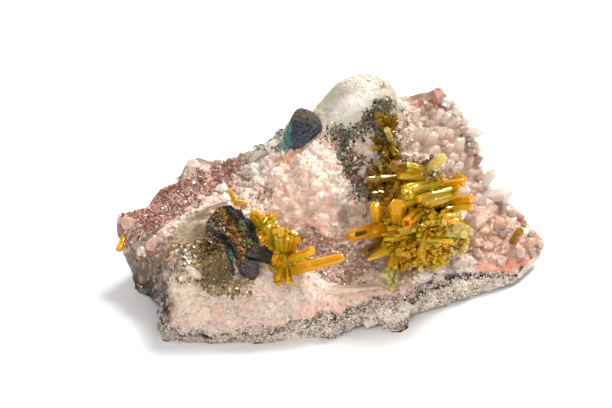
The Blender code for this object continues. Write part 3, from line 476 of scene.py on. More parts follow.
# The gossan: middle, reaches round it and thickness, then its features as (u, w)
GOSSAN = ((-11.7, -9.6, 9.6), (3.4, 4.2, 3.9, 5.0, 4.2, 3.6, 4.4, 6.0, 5.0, 4.2, 3.6, 3.0), 1.2)
GOSSAN_RIDGE = [(-12.4, 8.4), (-11.2, 7.6), (-10.0, 6.4), (-9.0, 5.0), (-7.6, 3.7)]
GOSSAN_CLEFT = [(-11.6, 3.8), (-11.2, 2.2), (-10.7, 0.6), (-9.9, 0.0)]
GOSSAN_SLASH = [(-15.0, 6.2), (-13.6, 5.6), (-12.2, 4.2)]
GOSSAN_SAND = ((-12.9, 1.4), (1.9, 1.9), 0)
GOSSAN_CRUMB = ((-11.4, 5.6), (3.0, 2.9), -30)
CRUMB_TONES = {"bark": 5, "gold_earth": 3, "black": 4, "sand": 3, "cream": 0.6, "green": 0.12}

# Copper greens on the gossan: middle (u, w), reach, turn, tone, strength
GOSSAN_GREENS = [
    ((-10.1, 5.8), (0.4, 0.7), 30, "leaf", 0.7),
    ((-9.7, 4.0), (0.9, 0.24), 20, "lime", 0.9),
    ((-8.0, 4.4), (0.4, 0.4), 0, "teal", 0.8),
    ((-11.0, 1.9), (0.3, 1.1), 25, "teal", 0.8),
    ((-9.3, 0.2), (0.4, 0.3), 0, "turquoise", 0.9),
    ((-12.6, 8.6), (0.3, 0.3), 0, "green", 0.9),
    ((-15.9, 1.4), (0.3, 0.4), 0, "teal", 0.6),
    ((-6.9, 2.4), (0.9, 0.6), -30, "moss_grey", 0.8),
]

# Ore pods and the streak: middle, reaches round it and thickness
ORE = {
    "ore_pod_upper": ((-3.5, 4.9, 16.7), (1.5, 1.8, 1.4, 1.7), 1.5),
    "ore_pod_left": ((-7.9, -9.1, 8.4), (1.7, 1.0, 0.9, 1.3, 1.5, 1.1, 0.9, 1.2), 1.5),
    "ore_pod_small": ((-9.4, -11.3, 7.8), (0.9, 1.0, 0.7, 1.1), 1.3),
    "ore_streak": ((-13.5, -7.6, 10.2), (1.2, 0.4, 0.9, 1.6, 0.6, 0.4, 1.2, 1.8), 1.1),
}

# Each ore stone: how far it is grown in mm, its planes, where its flat top lies, its seed and tone
ORE_STONES = {
    "ore_pod_upper": (0.3, 12, 0.75, 4, "blue_black"),
    "ore_pod_left": (0.1, 8, 0.6, 2, "pod_brown"),
    "ore_pod_small": (0.0, 6, 0.5, 9, "pod_brown"),
    "ore_streak": (-0.12, 12, 0.5, 5, "black"),
}
LUMP_DEPTH = 1.0

# Mimetite crystals as (base, tip, width across, end, tone)
CLUSTER = {
    "long_left": ((6.4, -6.0, 10.1), (1.7, -8.6, 10.3), 1.5, "wedge", "orange"),
    "stub_left": ((5.1, -6.0, 10.9), (4.8, -8.2, 14.2), 1.35, "bevel", "amber"),
    "stub_middle": ((7.5, -6.6, 10.9), (7.2, -8.6, 14.5), 2.1, "bevel", "amber"),
    "hopper": ((10.3, -6.5, 12.9), (8.2, -10.6, 13.2), 1.25, "hopper", "orange"),
    "window_end": ((9.6, -3.5, 16.5), (6.8, -5.6, 17.7), 1.25, "flat", "olive"),
    # pale_top is a pale crystal whose paleness also stands for the white highlight on it: partly a painted
    # highlight
    "pale_top": ((10.8, -3.0, 15.9), (12.3, -6.4, 19.3), 1.3, "bevel", "lemon"),
    "olive_blade": ((8.2, -3.6, 15.3), (3.8, -4.8, 15.5), 0.8, "flat", "olive"),
    "right_high": ((12.7, -3.8, 14.4), (15.0, -5.2, 15.5), 0.95, "flat", "amber"),
    "right_twin_a": ((13.0, -4.3, 12.4), (15.9, -6.2, 13.8), 1.0, "flat", "amber"),
    "right_twin_b": ((13.0, -4.6, 11.8), (15.8, -6.4, 13.0), 0.95, "flat", "gold"),
    "right_stub": ((12.9, -4.2, 13.1), (14.4, -6.4, 15.3), 0.9, "bevel", "amber"),
    "lemon_plate": ((13.0, -4.4, 9.1), (14.5, -7.4, 10.9), 2.3, "flat", "lemon"),
    "lemon_beads": ((14.0, -4.2, 8.0), (16.0, -5.8, 9.6), 1.1, "bevel", "lemon"),
    "low_left_dark": ((6.4, -6.0, 8.8), (3.7, -8.2, 7.8), 1.0, "bevel", "olive"),
    "low_left_point": ((7.6, -6.6, 8.0), (4.0, -9.4, 7.7), 1.3, "point", "gold"),
    "ledge": ((9.7, -7.0, 9.6), (5.8, -9.6, 10.8), 1.05, "flat", "gold"),
    "lens": ((8.9, -6.6, 7.7), (7.9, -10.6, 9.5), 1.5, "bevel", "amber"),
    "hanging_left": ((7.3, -6.6, 7.4), (6.8, -9.6, 6.3), 1.3, "flat", "gold"),
    "hanging_low": ((7.1, -7.6, 6.1), (6.1, -10.6, 6.1), 1.1, "flat", "lemon"),
    "foot_crystal": ((7.3, -8.2, 5.9), (6.5, -11.0, 4.9), 1.2, "flat", "lemon"),
    "low_right": ((13.2, -5.0, 6.6), (12.4, -8.0, 6.1), 1.3, "flat", "gold"),
    "low_right_pale": ((13.7, -4.8, 6.4), (15.3, -6.6, 6.7), 0.9, "bevel", "lemon"),
    "fluted": ((11.8, -5.6, 6.9), (10.5, -8.8, 7.1), 0.8, "flat", "lemon"),
    "orange_low": ((9.4, -6.2, 7.0), (9.4, -9.0, 6.6), 1.2, "bevel", "orange"),
    "front_high": ((12.3, -5.4, 11.3), (12.6, -9.6, 13.2), 1.6, "bevel", "amber"),
    "side_high": ((12.4, -3.2, 12.8), (15.4, -2.6, 15.0), 1.3, "bevel", "amber"),
    "side_middle": ((12.6, -3.4, 11.0), (16.0, -3.0, 12.0), 1.3, "flat", "gold"),
    "side_low": ((12.4, -3.0, 9.0), (16.2, -3.6, 8.4), 1.2, "bevel", "amber"),
    "side_foot": ((12.6, -3.6, 7.4), (15.4, -4.0, 5.8), 1.2, "bevel", "gold"),
    "back_high": ((10.5, -2.2, 13.6), (11.6, -1.6, 16.9), 1.3, "bevel", "olive"),
    "back_left": ((8.6, -2.4, 13.4), (7.6, -2.2, 16.4), 1.2, "bevel", "olive"),
    "left_high": ((7.4, -3.4, 12.4), (4.6, -3.6, 13.0), 1.0, "flat", "olive"),
    "left_low": ((7.0, -4.4, 8.6), (4.3, -5.0, 8.6), 1.1, "bevel", "amber"),
}
SPRAY = {
    "long_right": ((-4.5, -10.0, 6.7), (1.2, -12.5, 10.0), 1.15, "wedge", "amber"),
    "short_right": ((-4.9, -9.5, 7.8), (-2.2, -12.0, 10.6), 1.05, "bevel", "gold"),
    "amber_stub": ((-5.0, -8.5, 8.5), (-4.4, -10.0, 11.5), 1.6, "bevel", "orange"),
    "bright_a": ((-5.9, -8.5, 8.5), (-6.0, -10.0, 12.0), 1.5, "bevel", "gold"),
    "bright_b": ((-6.8, -8.0, 9.1), (-7.0, -9.0, 12.3), 1.2, "bevel", "gold"),
    "low_a": ((-5.7, -10.3, 7.3), (-6.2, -12.5, 6.6), 1.2, "bevel", "amber"),
    "low_b": ((-5.0, -10.3, 7.1), (-4.7, -13.0, 6.8), 1.0, "bevel", "gold"),
    "top_a": ((-7.8, -6.5, 9.7), (-8.8, -7.5, 12.9), 1.0, "bevel", "amber"),
    "top_b": ((-8.0, -6.0, 10.2), (-9.7, -6.5, 12.2), 0.9, "bevel", "amber"),
}
CREST = {
    "crest_a": ((6.3, 4.3, 17.3), (5.6, 3.2, 19.7), 1.5, "bevel", "olive"),
    "crest_b": ((6.9, 4.3, 17.3), (7.7, 3.3, 19.3), 1.3, "bevel", "olive"),
    # Painted highlight: the streak is a thin pale crystal laid where the crest shows a white streak of
    # reflected light
    "streak": ((7.0, 3.4, 16.2), (6.4, 1.3, 18.8), 0.75, "flat", "lemon"),
    "low_a": ((6.5, 2.8, 15.4), (6.0, 0.6, 15.4), 1.1, "bevel", "olive"),
    "low_b": ((7.0, 2.8, 15.6), (7.6, 0.8, 15.6), 1.0, "bevel", "olive"),
    "left_a": ((5.9, 3.6, 16.1), (4.5, 2.4, 17.0), 0.9, "bevel", "olive"),
    "left_b": ((5.9, 3.2, 15.6), (4.7, 1.9, 15.9), 0.8, "bevel", "gold"),
}
SINGLES = {
    "mimetite_right_stub": ((21.6, 0.9, 3.4), (22.5, -0.5, 6.3), 1.1, "bevel", "olive"),
    "mimetite_left_tip": ((-24.2, -1.6, 6.6), (-24.9, -3.9, 5.6), 0.9, "bevel", "orange"),
    "mimetite_blade_long": ((-11.0, -3.6, 11.6), (-11.7, -4.5, 14.1), 0.6, "flat", "gold"),
    "mimetite_blade_short": ((-9.9, -3.8, 11.8), (-11.1, -5.0, 12.9), 0.6, "flat", "gold"),
}

# Crystals of the cluster that lie across it, in place of stout ones of the solid, as (u, w, h)
ACROSS_CLUSTER = {
    "mass_left": ((12.2, 10.4, 10.6), (7.6, 9.4, 13.6), 2.6, "bevel", "gold"),
    "mass_right": ((13.8, 9.8, 11.6), (9.7, 8.8, 14.2), 1.6, "flat", "gold"),
    "crown_left": ((12.0, 11.6, 10.6), (7.4, 12.0, 12.8), 1.8, "bevel", "amber"),
    "ledge_high": ((11.0, 6.0, 12.0), (5.9, 5.0, 13.6), 1.3, "flat", "amber"),
    "right_low": ((9.8, 4.4, 12.2), (13.6, 4.2, 13.4), 1.4, "bevel", "gold"),
    "right_middle": ((10.2, 6.6, 12.4), (14.2, 6.8, 12.8), 1.3, "bevel", "amber"),
    "middle_down": ((10.4, 5.6, 12.2), (9.6, 2.2, 13.2), 1.4, "bevel", "amber"),
}

# Each end of a crystal as rings of (share of the length, share of the width, width of the ring)
ENDS = {
    "bevel": [(0, 0, 0.85), (1, -0.3, 1.0), (1, -0.06, 0.84), (1, 0, 0.72)],
    "flat": [(0, 0, 0.9), (1, -0.07, 1.0), (1, 0, 0.88)],
    "wedge": [(0, 0, 1.25), (1, -0.5, 0.95), (1, -0.12, 0.74), (1, 0, 0.5)],
    "hopper": [(0, 0, 0.8), (0.5, 0, 1.0), (1, -0.12, 1.0), (1, 0, 0.9), (1, -0.02, 0.62), (1, -0.6, 0.42)],
    "point": [(0, 0, 1.3), (0.3, 0, 1.0), (1, -0.5, 0.5), (1, -0.1, 0.24), (1, 0, 0.12)],
    "quartz": [(0, 0, 0.9), (1, -0.6, 1.0), (1, -0.05, 0.14), (1, 0, 0.05)],
    "grain": [(0, 0, 0.8), (1, -0.5, 1.0), (1, 0, 0.2)],
}
CORNER_ROUNDING = math.radians(4)
SIDE_REACH = math.cos(math.pi / 6) / 2

# Crystals that stay whole; the other stout ones are bundles of thinner ones
WHOLE = {
    "long_left", "stub_left", "stub_middle", "hopper", "window_end", "pale_top", "olive_blade", "right_high",
    "right_twin_a", "right_twin_b", "low_left_dark", "low_left_point", "long_right", "short_right", "streak",
    *SINGLES,
}

BUNDLE_DENSITY = 6
PATTERN_SPREAD = 50

# Dark panels of painted shade in the windows of clear crystals: share of the length where each
# # starts and ends, and of the width
SHADE_WINDOWS = {
    "long_left": (0.3, 0.86, 0.52),
    "hopper": (0.4, 0.88, 0.46),
    "window_end": (0.25, 0.9, 0.62),
    "low_left_dark": (0.1, 0.9, 0.62),
}
SHADE_WINDOW_RAISED = 0.07

# A side turned this way throws the key light at the camera
GLINT = (0.35, -0.33, 0.88)

# Massive mimetite under each group: middle, reaches round it, thickness, tone, how far it is raised
CORES = {
    "cluster": ((10.0, -3.6, 10.6), (4.4, 5.6, 4.4, 5.2), 3.4, "mass", 1.4),
    "spray": ((-5.8, -8.2, 8.0), (1.5, 1.6, 2.4, 4.6, 1.6, 1.6, 2.4, 2.0), 1.1, "mass", 0.0),
    "crest": ((6.4, 4.6, 16.4), (1.1, 2.2, 1.2, 2.2), 0.9, "olive_grit", 0.0),
}

# Fans of small crystals: count, least and most share of the span, width, length, scatter, heart
# (u, w, h), span, tones with shares, or none to go by the region of the cluster
FANS = {
    "mimetite_cluster": [
        (70, (0.66, 0.95), (0.7, 1.4), (1.2, 2.6), 0.35, (9.9, 6.2, 8.6), (5.2, 6.0, 5.2), None),
        (520, (0.75, 1.03), (0.35, 0.85), (0.6, 1.3), 0.28, (9.9, 6.2, 8.6), (5.2, 6.0, 5.2), None),
        (300, (0.8, 1.03), (0.18, 0.4), (0.4, 1.0), 0.6, (9.9, 6.2, 8.6), (5.2, 6.0, 5.2), None),
        (420, (0.85, 1.03), (0.3, 0.8), (0.5, 1.1), 0.4, (10.6, 7.4, 5.6), (4.6, 5.2, 3.8), None),
        (520, (0.85, 1.03), (0.3, 0.8), (0.5, 1.2), 0.4, (10.6, 8.5, 3.6), (4.4, 4.2, 3.4), None),
        (160, (0.5, 1.0), (0.25, 0.7), (0.6, 1.4), 0.6, (6.9, 11.4, 5.6), (2.8, 2.6, 3.6), None),
        (90, (0.5, 1.0), (0.25, 0.5), (0.5, 1.1), 0.6, (15.0, 4.6, 6.4), (1.2, 2.0, 2.6), None),
    ],
    "mimetite_spray": [
        (150, (0.5, 1.0), (0.25, 0.6), (0.4, 1.0), 0.7, (-7.9, 5.8, 9.6), (1.8, 1.7, 2.2),
         {"gold": 3, "amber": 3}),
        (150, (0.5, 1.0), (0.25, 0.65), (0.5, 1.1), 0.7, (-5.9, 3.4, 10.4), (2.0, 2.4, 2.6),
         {"gold": 3, "amber": 4}),
        (110, (0.5, 1.0), (0.2, 0.5), (0.4, 0.9), 0.7, (-6.4, 0.7, 11.8), (2.0, 1.4, 1.4),
         {"gold": 3, "orange": 1}),
        (90, (0.4, 1.0), (0.2, 0.5), (0.4, 0.9), 0.7, (-4.4, 1.6, 11.4), (2.6, 0.9, 1.6),
         {"gold": 3, "lemon": 1}),
    ],
    "mimetite_crest": [
        (170, (0.5, 1.0), (0.2, 0.5), (0.4, 1.0), 0.6, (6.4, 17.4, 2.8), (1.7, 2.4, 2.2),
         {"olive": 5, "gold": 1.5}),
        (120, (0.5, 1.0), (0.2, 0.5), (0.4, 0.9), 0.6, (6.9, 14.4, 4.0), (1.4, 1.8, 2.2),
         {"olive": 5, "gold": 1}),
    ],
}

# Dark grit on the cluster: middle (u, w, h), spread, count, tones with shares
CLUSTER_GRIT = [
    ((9.4, 12.9, 11.6), (1.1, 0.25, 0.35), 150,
     {"bark": 4, "black": 3, "brown_pink": 3, "green": 1, "olive_grit": 3}),
    ((11.6, 11.6, 11.6), (0.7, 0.3, 0.3), 60, {"ochre": 4, "milk": 2, "olive_grit": 2, "brown_pink": 1}),
]

# The sweep: half its width, the shares of its run that are flat and bent, that run, how far the
# curl reaches back and up, and how far the floor lies under the specimen
FLOOR_HALF = 700
FLOOR_CURL = 0.7
FLOOR_BEND = 0.3
FLOOR_RUN = 1500
CURL_REACH = 250
FLOOR_DROP = 0.02

CAMERA_PLACE = (-2.954, -173.375, 109.706)
CAMERA_PITCH = math.radians(60)
CAMERA_LENS = 100
CAMERA_SENSOR = 36

# Numbers that mix a cell's three indices and a seed into a random one
CELL_PRIMES = (73856093, 19349663, 83492791)
SEED_PRIME = 2654435
MIXER = 1274126177
LOW_BITS = 65535


def in_face(points):
    """World millimetres to (u, w, h) of the broad face."""
    return np.asarray(points, float) @ FRAME.T


def in_world(points):
    """(u, w, h) of the broad face to world millimetres."""
    return np.asarray(points, float) @ FRAME


def flatten(groups):
    """The landmarks of every feature, in the frame of the broad face."""
    return in_face([point for group in groups.values() for point in group])


def from_middle(places):
    """The bearing of each (u, w) from the middle of the broad face, and its distance."""
    offset = places - MIDDLE
    return np.arctan2(offset[:, 1], offset[:, 0]), np.hypot(offset[:, 0], offset[:, 1])


def rim_curve():
    """Bearing, radius and height of the rim, sorted by bearing and repeated a turn either way."""
    rim = flatten(RIM)
    bearing, radius = from_middle(rim[:, :2])
    order = np.argsort(bearing)
    bearing = bearing[order]
    turns = np.concatenate([bearing - ALL_ROUND, bearing, bearing + ALL_ROUND])
    return turns, np.tile(radius[order], 3), np.tile(rim[order, 2], 3)


class Relief:
    """A smooth height over (u, w) through landmarks: distances to a power, and a plane."""

    CHUNK = 20000

    def __init__(self, marks):
        self.places = marks[:, :2]
        count = len(marks)
        plane = np.column_stack([np.ones(count), self.places])
        system = np.zeros((count + 3, count + 3))
        system[:count, :count] = self.kernel(self.places)
        system[:count, count:] = plane
        system[count:, :count] = plane.T
        self.weights = np.linalg.solve(system, np.concatenate([marks[:, 2], np.zeros(3)]))

    def kernel(self, here):
        gap = here[:, None, :] - self.places[None, :, :]
        return (gap**2).sum(2) ** (RELIEF_POWER / 2)

    def __call__(self, places):
        parts = [places[start:start + self.CHUNK] for start in range(0, len(places), self.CHUNK)]
        bend = np.concatenate([self.kernel(part) @ self.weights[:-3] for part in parts])
        return bend + self.weights[-3] + places @ self.weights[-2:]


def random_lattice(cells, seed):
    """A fixed random value from -1 to 1 for each cell of a grid."""
    first, second, third = (cells * np.array(CELL_PRIMES)).T
    mixed = first ^ second ^ third ^ seed * SEED_PRIME
    mixed = (mixed ^ (mixed >> 13)) * MIXER
    return ((mixed ^ (mixed >> 16)) & LOW_BITS) / (LOW_BITS / 2) - 1


def smooth_noise(points, seed):
    """Smooth noise from -1 to 1: random values at the corners of unit cells, blended by distance."""
    cells = np.floor(points).astype(np.int64)
    share = points - cells
    share = share * share * (3 - 2 * share)
    total = np.zeros(len(points))
    for corner in np.ndindex(2, 2, 2):
        weight = np.prod(np.where(corner, share, 1 - share), axis=1)
        total += weight * random_lattice(cells + corner, seed)
    return total


def cloud(points, wavelength, octaves, seed):
    """Noise summed over octaves, each half as long and half as high as the last."""
    total = np.zeros(len(points))
    for octave in range(octaves):
        total += smooth_noise(points * 2**octave / wavelength + 7.3 * octave, seed + octave) / 2**octave
    return total


def facets(points, size, seed):
    """Broken planes: each point takes the tilted plane of the nearest of many scattered centres."""
    scaled = points / size
    cells = np.floor(scaled).astype(np.int64)
    nearest = np.full(len(points), np.inf)
    rise = np.zeros(len(points))
    for corner in np.ndindex(3, 3, 3):
        cell = cells + np.array(corner) - 1
        scatter = np.stack([random_lattice(cell, seed + axis) for axis in range(3)], axis=1)
        away = scaled - cell - 0.5 - 0.45 * scatter
        distance = (away**2).sum(1)
        tilt = np.stack([random_lattice(cell, seed + 3 + axis) for axis in range(3)], axis=1)
        closer = distance < nearest
        rise = np.where(closer, (away * tilt).sum(1), rise)
        nearest = np.minimum(nearest, distance)
    return rise


def crags(points):
    """How far the broken rock stands out or in: folded noise of three sizes."""
    rise = np.zeros(len(points))
    for seed, (wavelength, height) in enumerate(CRAGS):
        rise += height * (2 * np.abs(smooth_noise(points / wavelength, seed)) - 0.6)
    return rise


def seam_height(across):
    """The seam's w at each u."""
    along, height = np.array(SEAM).T
    return np.interp(across, along, height)


def unit(vectors):
    """Vectors brought to a length of 1."""
    return vectors / np.maximum(np.linalg.norm(vectors, axis=-1, keepdims=True), 1e-9)


def on_sphere(polar, bearing):
    """Directions at an angle from the pole and a bearing round it."""
    level = np.sin(polar)
    return np.stack([level * np.cos(bearing), level * np.sin(bearing), np.cos(polar)], axis=-1)


class Block:
    """The outside of the block, from the direction of a point on a sphere, as in its solid."""

    def __init__(self):
        self.bearing, self.radius, self.height = rim_curve()
        samples = np.linspace(-math.pi, math.pi, RIM_SAMPLES, endpoint=False)
        rim = np.column_stack([self.places(samples, 1.0), self.rim_height(samples)])
        self.front = Relief(np.vstack([rim, flatten(FACE)]))
        self.back = Relief(np.vstack([rim, flatten(BACK)]))

    def rim_height(self, bearing):
        return np.interp(bearing, self.bearing, self.height)

    def rim_radius(self, bearing):
        return np.interp(bearing, self.bearing, self.radius)

    def places(self, bearing, share):
        """(u, w) at a share of the way from the middle to the rim."""
        reach = share * self.rim_radius(bearing)
        return MIDDLE + np.column_stack([reach * np.cos(bearing), reach * np.sin(bearing)])

    def directions(self, places):
        """The directions on the sphere whose points lie at (u, w) of the broad face."""
        bearing, away = from_middle(places)
        return on_sphere(np.minimum(away / self.rim_radius(bearing), 1) * math.pi / 2, bearing)

    def spread(self, directions):
        """Directions as a bearing, right angles from the pole, share of the way to the rim and
        (u, w)."""
        bearing = np.arctan2(directions[:, 1], directions[:, 0])
        polar = np.arccos(np.clip(directions[:, 2], -1, 1)) * 2 / math.pi
        share = 1 - np.abs(1 - polar)
        return bearing, polar, share, self.places(bearing, share)

    def surface(self, directions):
        """World millimetres: front relief, back relief or rim, moved out by the crags."""
        bearing, polar, share, places = self.spread(directions)
        relief = self.front(places)
        groove = SEAM_DEPTH * np.exp(-(((places[:, 1] - seam_height(places[:, 0])) / SEAM_WIDTH) ** 2))
        front = relief - groove * (1 - share**8)
        back = np.minimum(self.back(places), relief - THINNEST)
        height = np.where(polar < 1, front, back)
        height = np.where(np.abs(polar - 1) < 1e-4, self.rim_height(bearing), height)
        points = in_world(np.column_stack([places, height]))
        strength = 1 - (1 - CRAGS_AT_RIM) * share**6
        return points + (strength * crags(points))[:, None] * in_world(directions)

    def at(self, places):
        """World millimetres of the broad face at (u, w)."""
        return self.surface(self.directions(places))

    def normals(self, places, step=0.35):
        """Unit world directions out of the broad face at (u, w)."""
        across = np.array([step, 0.0])
        up = np.array([0.0, step])
        right = self.at(places + across) - self.at(places - across)
        above = self.at(places + up) - self.at(places - up)
        return unit(np.cross(right, above))


BLOCK = Block()


def tone(name):
    """A tone as linear red, green and blue."""
    share = np.array(TONES[name]) / 255
    return np.where(share < 0.04045, share / 12.92, ((share + 0.055) / 1.055) ** 2.4)


def blend(colours, other, amount):
    """Colours moved toward another by an amount from 0 to 1 at each point."""
    amount = np.asarray(amount)[:, None]
    return colours * (1 - amount) + other * amount


def soft_step(low, high, values):
    """0 up to low, 1 from high on, and an S-shaped rise between them."""
    share = np.clip((values - low) / (high - low), 0, 1)
    return share * share * (3 - 2 * share)


def patch_mask(places, middle, reach, turn, ragged):
    """1 inside an ellipse on the face and 0 outside, with an edge moved by ragged noise."""
    angle = math.radians(turn)
    offset = places - np.array(middle)
    along = offset @ np.array([math.cos(angle), math.sin(angle)]) / reach[0]
    aside = offset @ np.array([-math.sin(angle), math.cos(angle)]) / reach[1]
    away = np.hypot(along, aside) + 0.35 * ragged
    return 1 - soft_step(0.75, 1.15, away)


def band_mask(places, path, width, ragged):
    """1 along a path on the face, fading to 0 at its width, with a ragged edge."""
    nearest = np.full(len(places), np.inf)
    for start, end in zip(path[:-1], path[1:]):
        start, run = np.array(start), np.array(end) - np.array(start)
        share = np.clip((places - start) @ run / (run @ run), 0, 1)
        nearest = np.minimum(nearest, np.linalg.norm(places - start - share[:, None] * run, axis=1))
    return 1 - soft_step(0.6, 1.1, nearest / width + 0.3 * ragged)


def fray(points):
    """The noise that frays the edges of patches and bands."""
    return cloud(points, 1.3, 3, 41)


def fray_at(places, size=1.3, seed=41):
    """The same kind of noise for places that have no point yet."""
    return cloud(np.column_stack([places, places[:, :1]]), size, 2, seed)


def red_bed(places, ragged):
    """Where the red-brown druse grows on the left shelf."""
    return np.max([band_mask(places, path, width, ragged) for path, width in RED_BEDS], axis=0)


def recess_bed(places, ragged):
    """Where tiny crystals grow in the recess and below the pink boss."""
    return np.max([patch_mask(places, *patch, ragged) for patch in RECESS_BEDS], axis=0)


def smooth_ground(places, ragged):
    """1 where the quartz is smooth: the tan face, the white knob and, less so, the pink boss."""
    across, up = places.T
    tan = patch_mask(places, *SMOOTH_TAN, ragged * 0.3)
    knob = patch_mask(places, *SMOOTH_KNOB, ragged * 0.3)
    boss = patch_mask(places, *SMOOTH_BOSS, ragged)
    right = soft_step(10.0, 12.0, across) * soft_step(0.6, 1.6, up - seam_height(across))
    return np.max([tan, 0.85 * knob, 0.55 * boss, 0.6 * right], axis=0)


def packed_quartz(places):
    """Six-sided pyramids side by side, each with a lean of its own: the highest of those near a
    place, as a rise in mm and a number from -1 to 1 that is the crystal's own."""
    top = np.full(len(places), -np.inf)
    own = np.zeros(len(places))
    for size, slope, drop, seed in PACKED:
        cells = np.floor(places / size).astype(np.int64)
        for corner in np.ndindex(3, 3):
            cell = np.column_stack([cells + np.array(corner) - 1, np.zeros(len(places), np.int64)])
            draw = np.stack([random_lattice(cell, seed + key) for key in range(6)], axis=1)
            away = places - (cell[:, :2] + 0.5 + 0.4 * draw[:, :2]) * size
            turn = draw[:, 2:3] * math.pi / 6 + np.arange(3) * math.pi / 3
            reach = np.abs(away[:, :1] * np.cos(turn) + away[:, 1:] * np.sin(turn)).max(axis=1)
            lean = 0.45 * (away * draw[:, 3:5]).sum(1)
            peak = size * (0.4 + 0.12 * draw[:, 5]) - slope * reach + lean - drop
            higher = peak > top
            own = np.where(higher, draw[:, 5], own)
            top = np.maximum(top, peak)
    return top, own


def packed_share(places, ragged):
    """1 on the right slope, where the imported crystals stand, and less over the pink boss."""
    across, up = places.T
    right = soft_step(8.2, 10.4, across + 0.7 * ragged) * soft_step(0.5, 1.6, up - seam_height(across))
    return np.maximum(right, 0.4 * patch_mask(places, *PACKED_BOSS, ragged))


def face_colours(points, places):
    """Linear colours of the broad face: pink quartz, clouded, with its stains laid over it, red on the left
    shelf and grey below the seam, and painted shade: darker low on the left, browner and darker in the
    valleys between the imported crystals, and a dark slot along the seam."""
    across, up = places.T
    over_seam = up - seam_height(across)
    ragged = fray(points)
    colours = blend(tone("pale_pink"), tone("cream"), soft_step(-0.3, 0.9, cloud(points, 4.0, 2, 43)) * 0.5)
    right = soft_step(8.0, 11.0, across)
    colours = blend(colours, tone("druse_pink"), right * 0.9)
    # Painted shade: the face darker low down toward the left, where it is turned away from the key light
    colours = colours * (1 - 0.22 * soft_step(1.0, -6.0, across) * soft_step(2.0, -1.0, up))[:, None]
    for middle, reach, turn, name, strength in PATCHES.values():
        colours = blend(colours, tone(name), strength * patch_mask(places, middle, reach, turn, ragged))
    for path, width, name, strength in BANDS.values():
        colours = blend(colours, tone(name), strength * band_mask(places, path, width, ragged))
    packed = packed_share(places, ragged)
    rise, own = packed_quartz(places)
    colours = colours * (1 + 0.1 * (packed * own)[:, None])
    # Painted shade: the valleys between the packed crystals made browner and darker
    valley = soft_step(0.45, -0.25, rise + 0.25 * cloud(points, 0.9, 2, 57)) * packed
    colours = blend(colours, colours * tone("druse_brown") / tone("druse_pale"), valley * 0.95)
    red = red_bed(places, ragged)
    colours = blend(colours, tone("red_brown"), red * 0.9)
    crust = 1 - soft_step(-0.25, 0.15, over_seam + 0.3 * ragged)
    colours = blend(colours, tone("host"), crust)
    # Painted shade: a dark slot along the seam, in its groove
    slot = np.exp(-((over_seam + 0.3 * ragged - 0.05) / 0.22) ** 2)
    slot = slot * soft_step(-0.3, 0.3, cloud(points, 2.2, 2, 49))
    colours = blend(colours, tone("shadow_brown"), slot * 0.9)
    blotch = cloud(points, 1.6, 3, 53)
    pale = soft_step(0.3, 1.0, blotch) * 0.3 * (1 - crust) * (1 - 0.7 * right)
    colours = blend(colours, tone("white"), pale)
    rosy = colours * tone("salmon") / tone("pale_pink")
    colours = blend(colours, rosy, soft_step(0.2, 1.0, -blotch) * 0.45)
    return np.clip(colours, 0, 1), crust, red


def broken(points, places, smooth):
    """How far the fine breaks stand out, in mm: broken planes of two sizes, packed crystals on
    the right slope and a little noise."""
    packed = packed_share(places, fray(points))
    rise = 0.5 * facets(points, 1.8, 71) + 0.34 * facets(points, 0.85, 83)
    rise = rise * (1 - 0.85 * smooth) + (0.07 - 0.05 * smooth) * cloud(points, 0.8, 3, 91)
    return rise * (1 - 0.6 * packed) + packed * packed_quartz(places)[0]


def skin(places):
    """World millimetres of the finished broad face at (u, w), its fine breaks included."""
    directions = BLOCK.directions(places)
    points = BLOCK.surface(directions)
    rise = broken(points, places, smooth_ground(places, fray(points)))
    return points + rise[:, None] * in_world(directions)


def ball(polar, columns):
    """A sphere as rings of directions between two poles, and its faces, seen from outside."""
    bearing = np.linspace(-math.pi, math.pi, columns, endpoint=False)
    rings = on_sphere(*np.meshgrid(polar, bearing, indexing="ij"))
    directions = np.vstack([rings.reshape(-1, 3), [[0, 0, 1]], [[0, 0, -1]]])
    count = len(polar) * columns
    grid = np.arange(count).reshape(len(polar), columns)
    faces = loop_faces(grid).tolist()
    first, last = grid[0], grid[-1]
    faces += np.column_stack([np.full(columns, count), first, np.roll(first, -1)]).tolist()
    faces += np.column_stack([np.full(columns, count + 1), np.roll(last, -1), last]).tolist()
    return directions, faces


def even_ball(rings, columns):
    """A sphere whose rings are evenly spread from pole to pole, both poles counted."""
    return ball(np.linspace(0, math.pi, rings)[1:-1], columns)


def loop_faces(grid):
    """Four-sided faces between the rows of a grid whose columns close into a loop."""
    after = np.roll(grid, -1, axis=1)
    return np.stack([grid[:-1], grid[1:], after[1:], after[:-1]], axis=-1).reshape(-1, 4)


def add_piece(name, points, faces, tint, finish, nodes=("matrix",), extra=None):
    """A mesh from world millimetres, with its colours, its place in the frame and its finish."""
    mesh = bpy.data.meshes.new(name)
    mesh.from_pydata((points * MM).tolist(), [], faces)
    colours = np.column_stack([np.clip(tint, 0, 1), np.ones(len(tint))])
    mesh.attributes.new("tint", "FLOAT_COLOR", "POINT").data.foreach_set("color", colours.ravel())
    for label, values in (extra or {}).items():
        kind, key = ("FLOAT", "value") if values.ndim == 1 else ("FLOAT_VECTOR", "vector")
        mesh.attributes.new(label, kind, "POINT").data.foreach_set(key, values.ravel())
    mesh.materials.append(finish)
    piece = bpy.data.objects.new(name, mesh)
    bpy.context.scene.collection.objects.link(piece)
    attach(piece, "root")
    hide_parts(*nodes)
    return piece


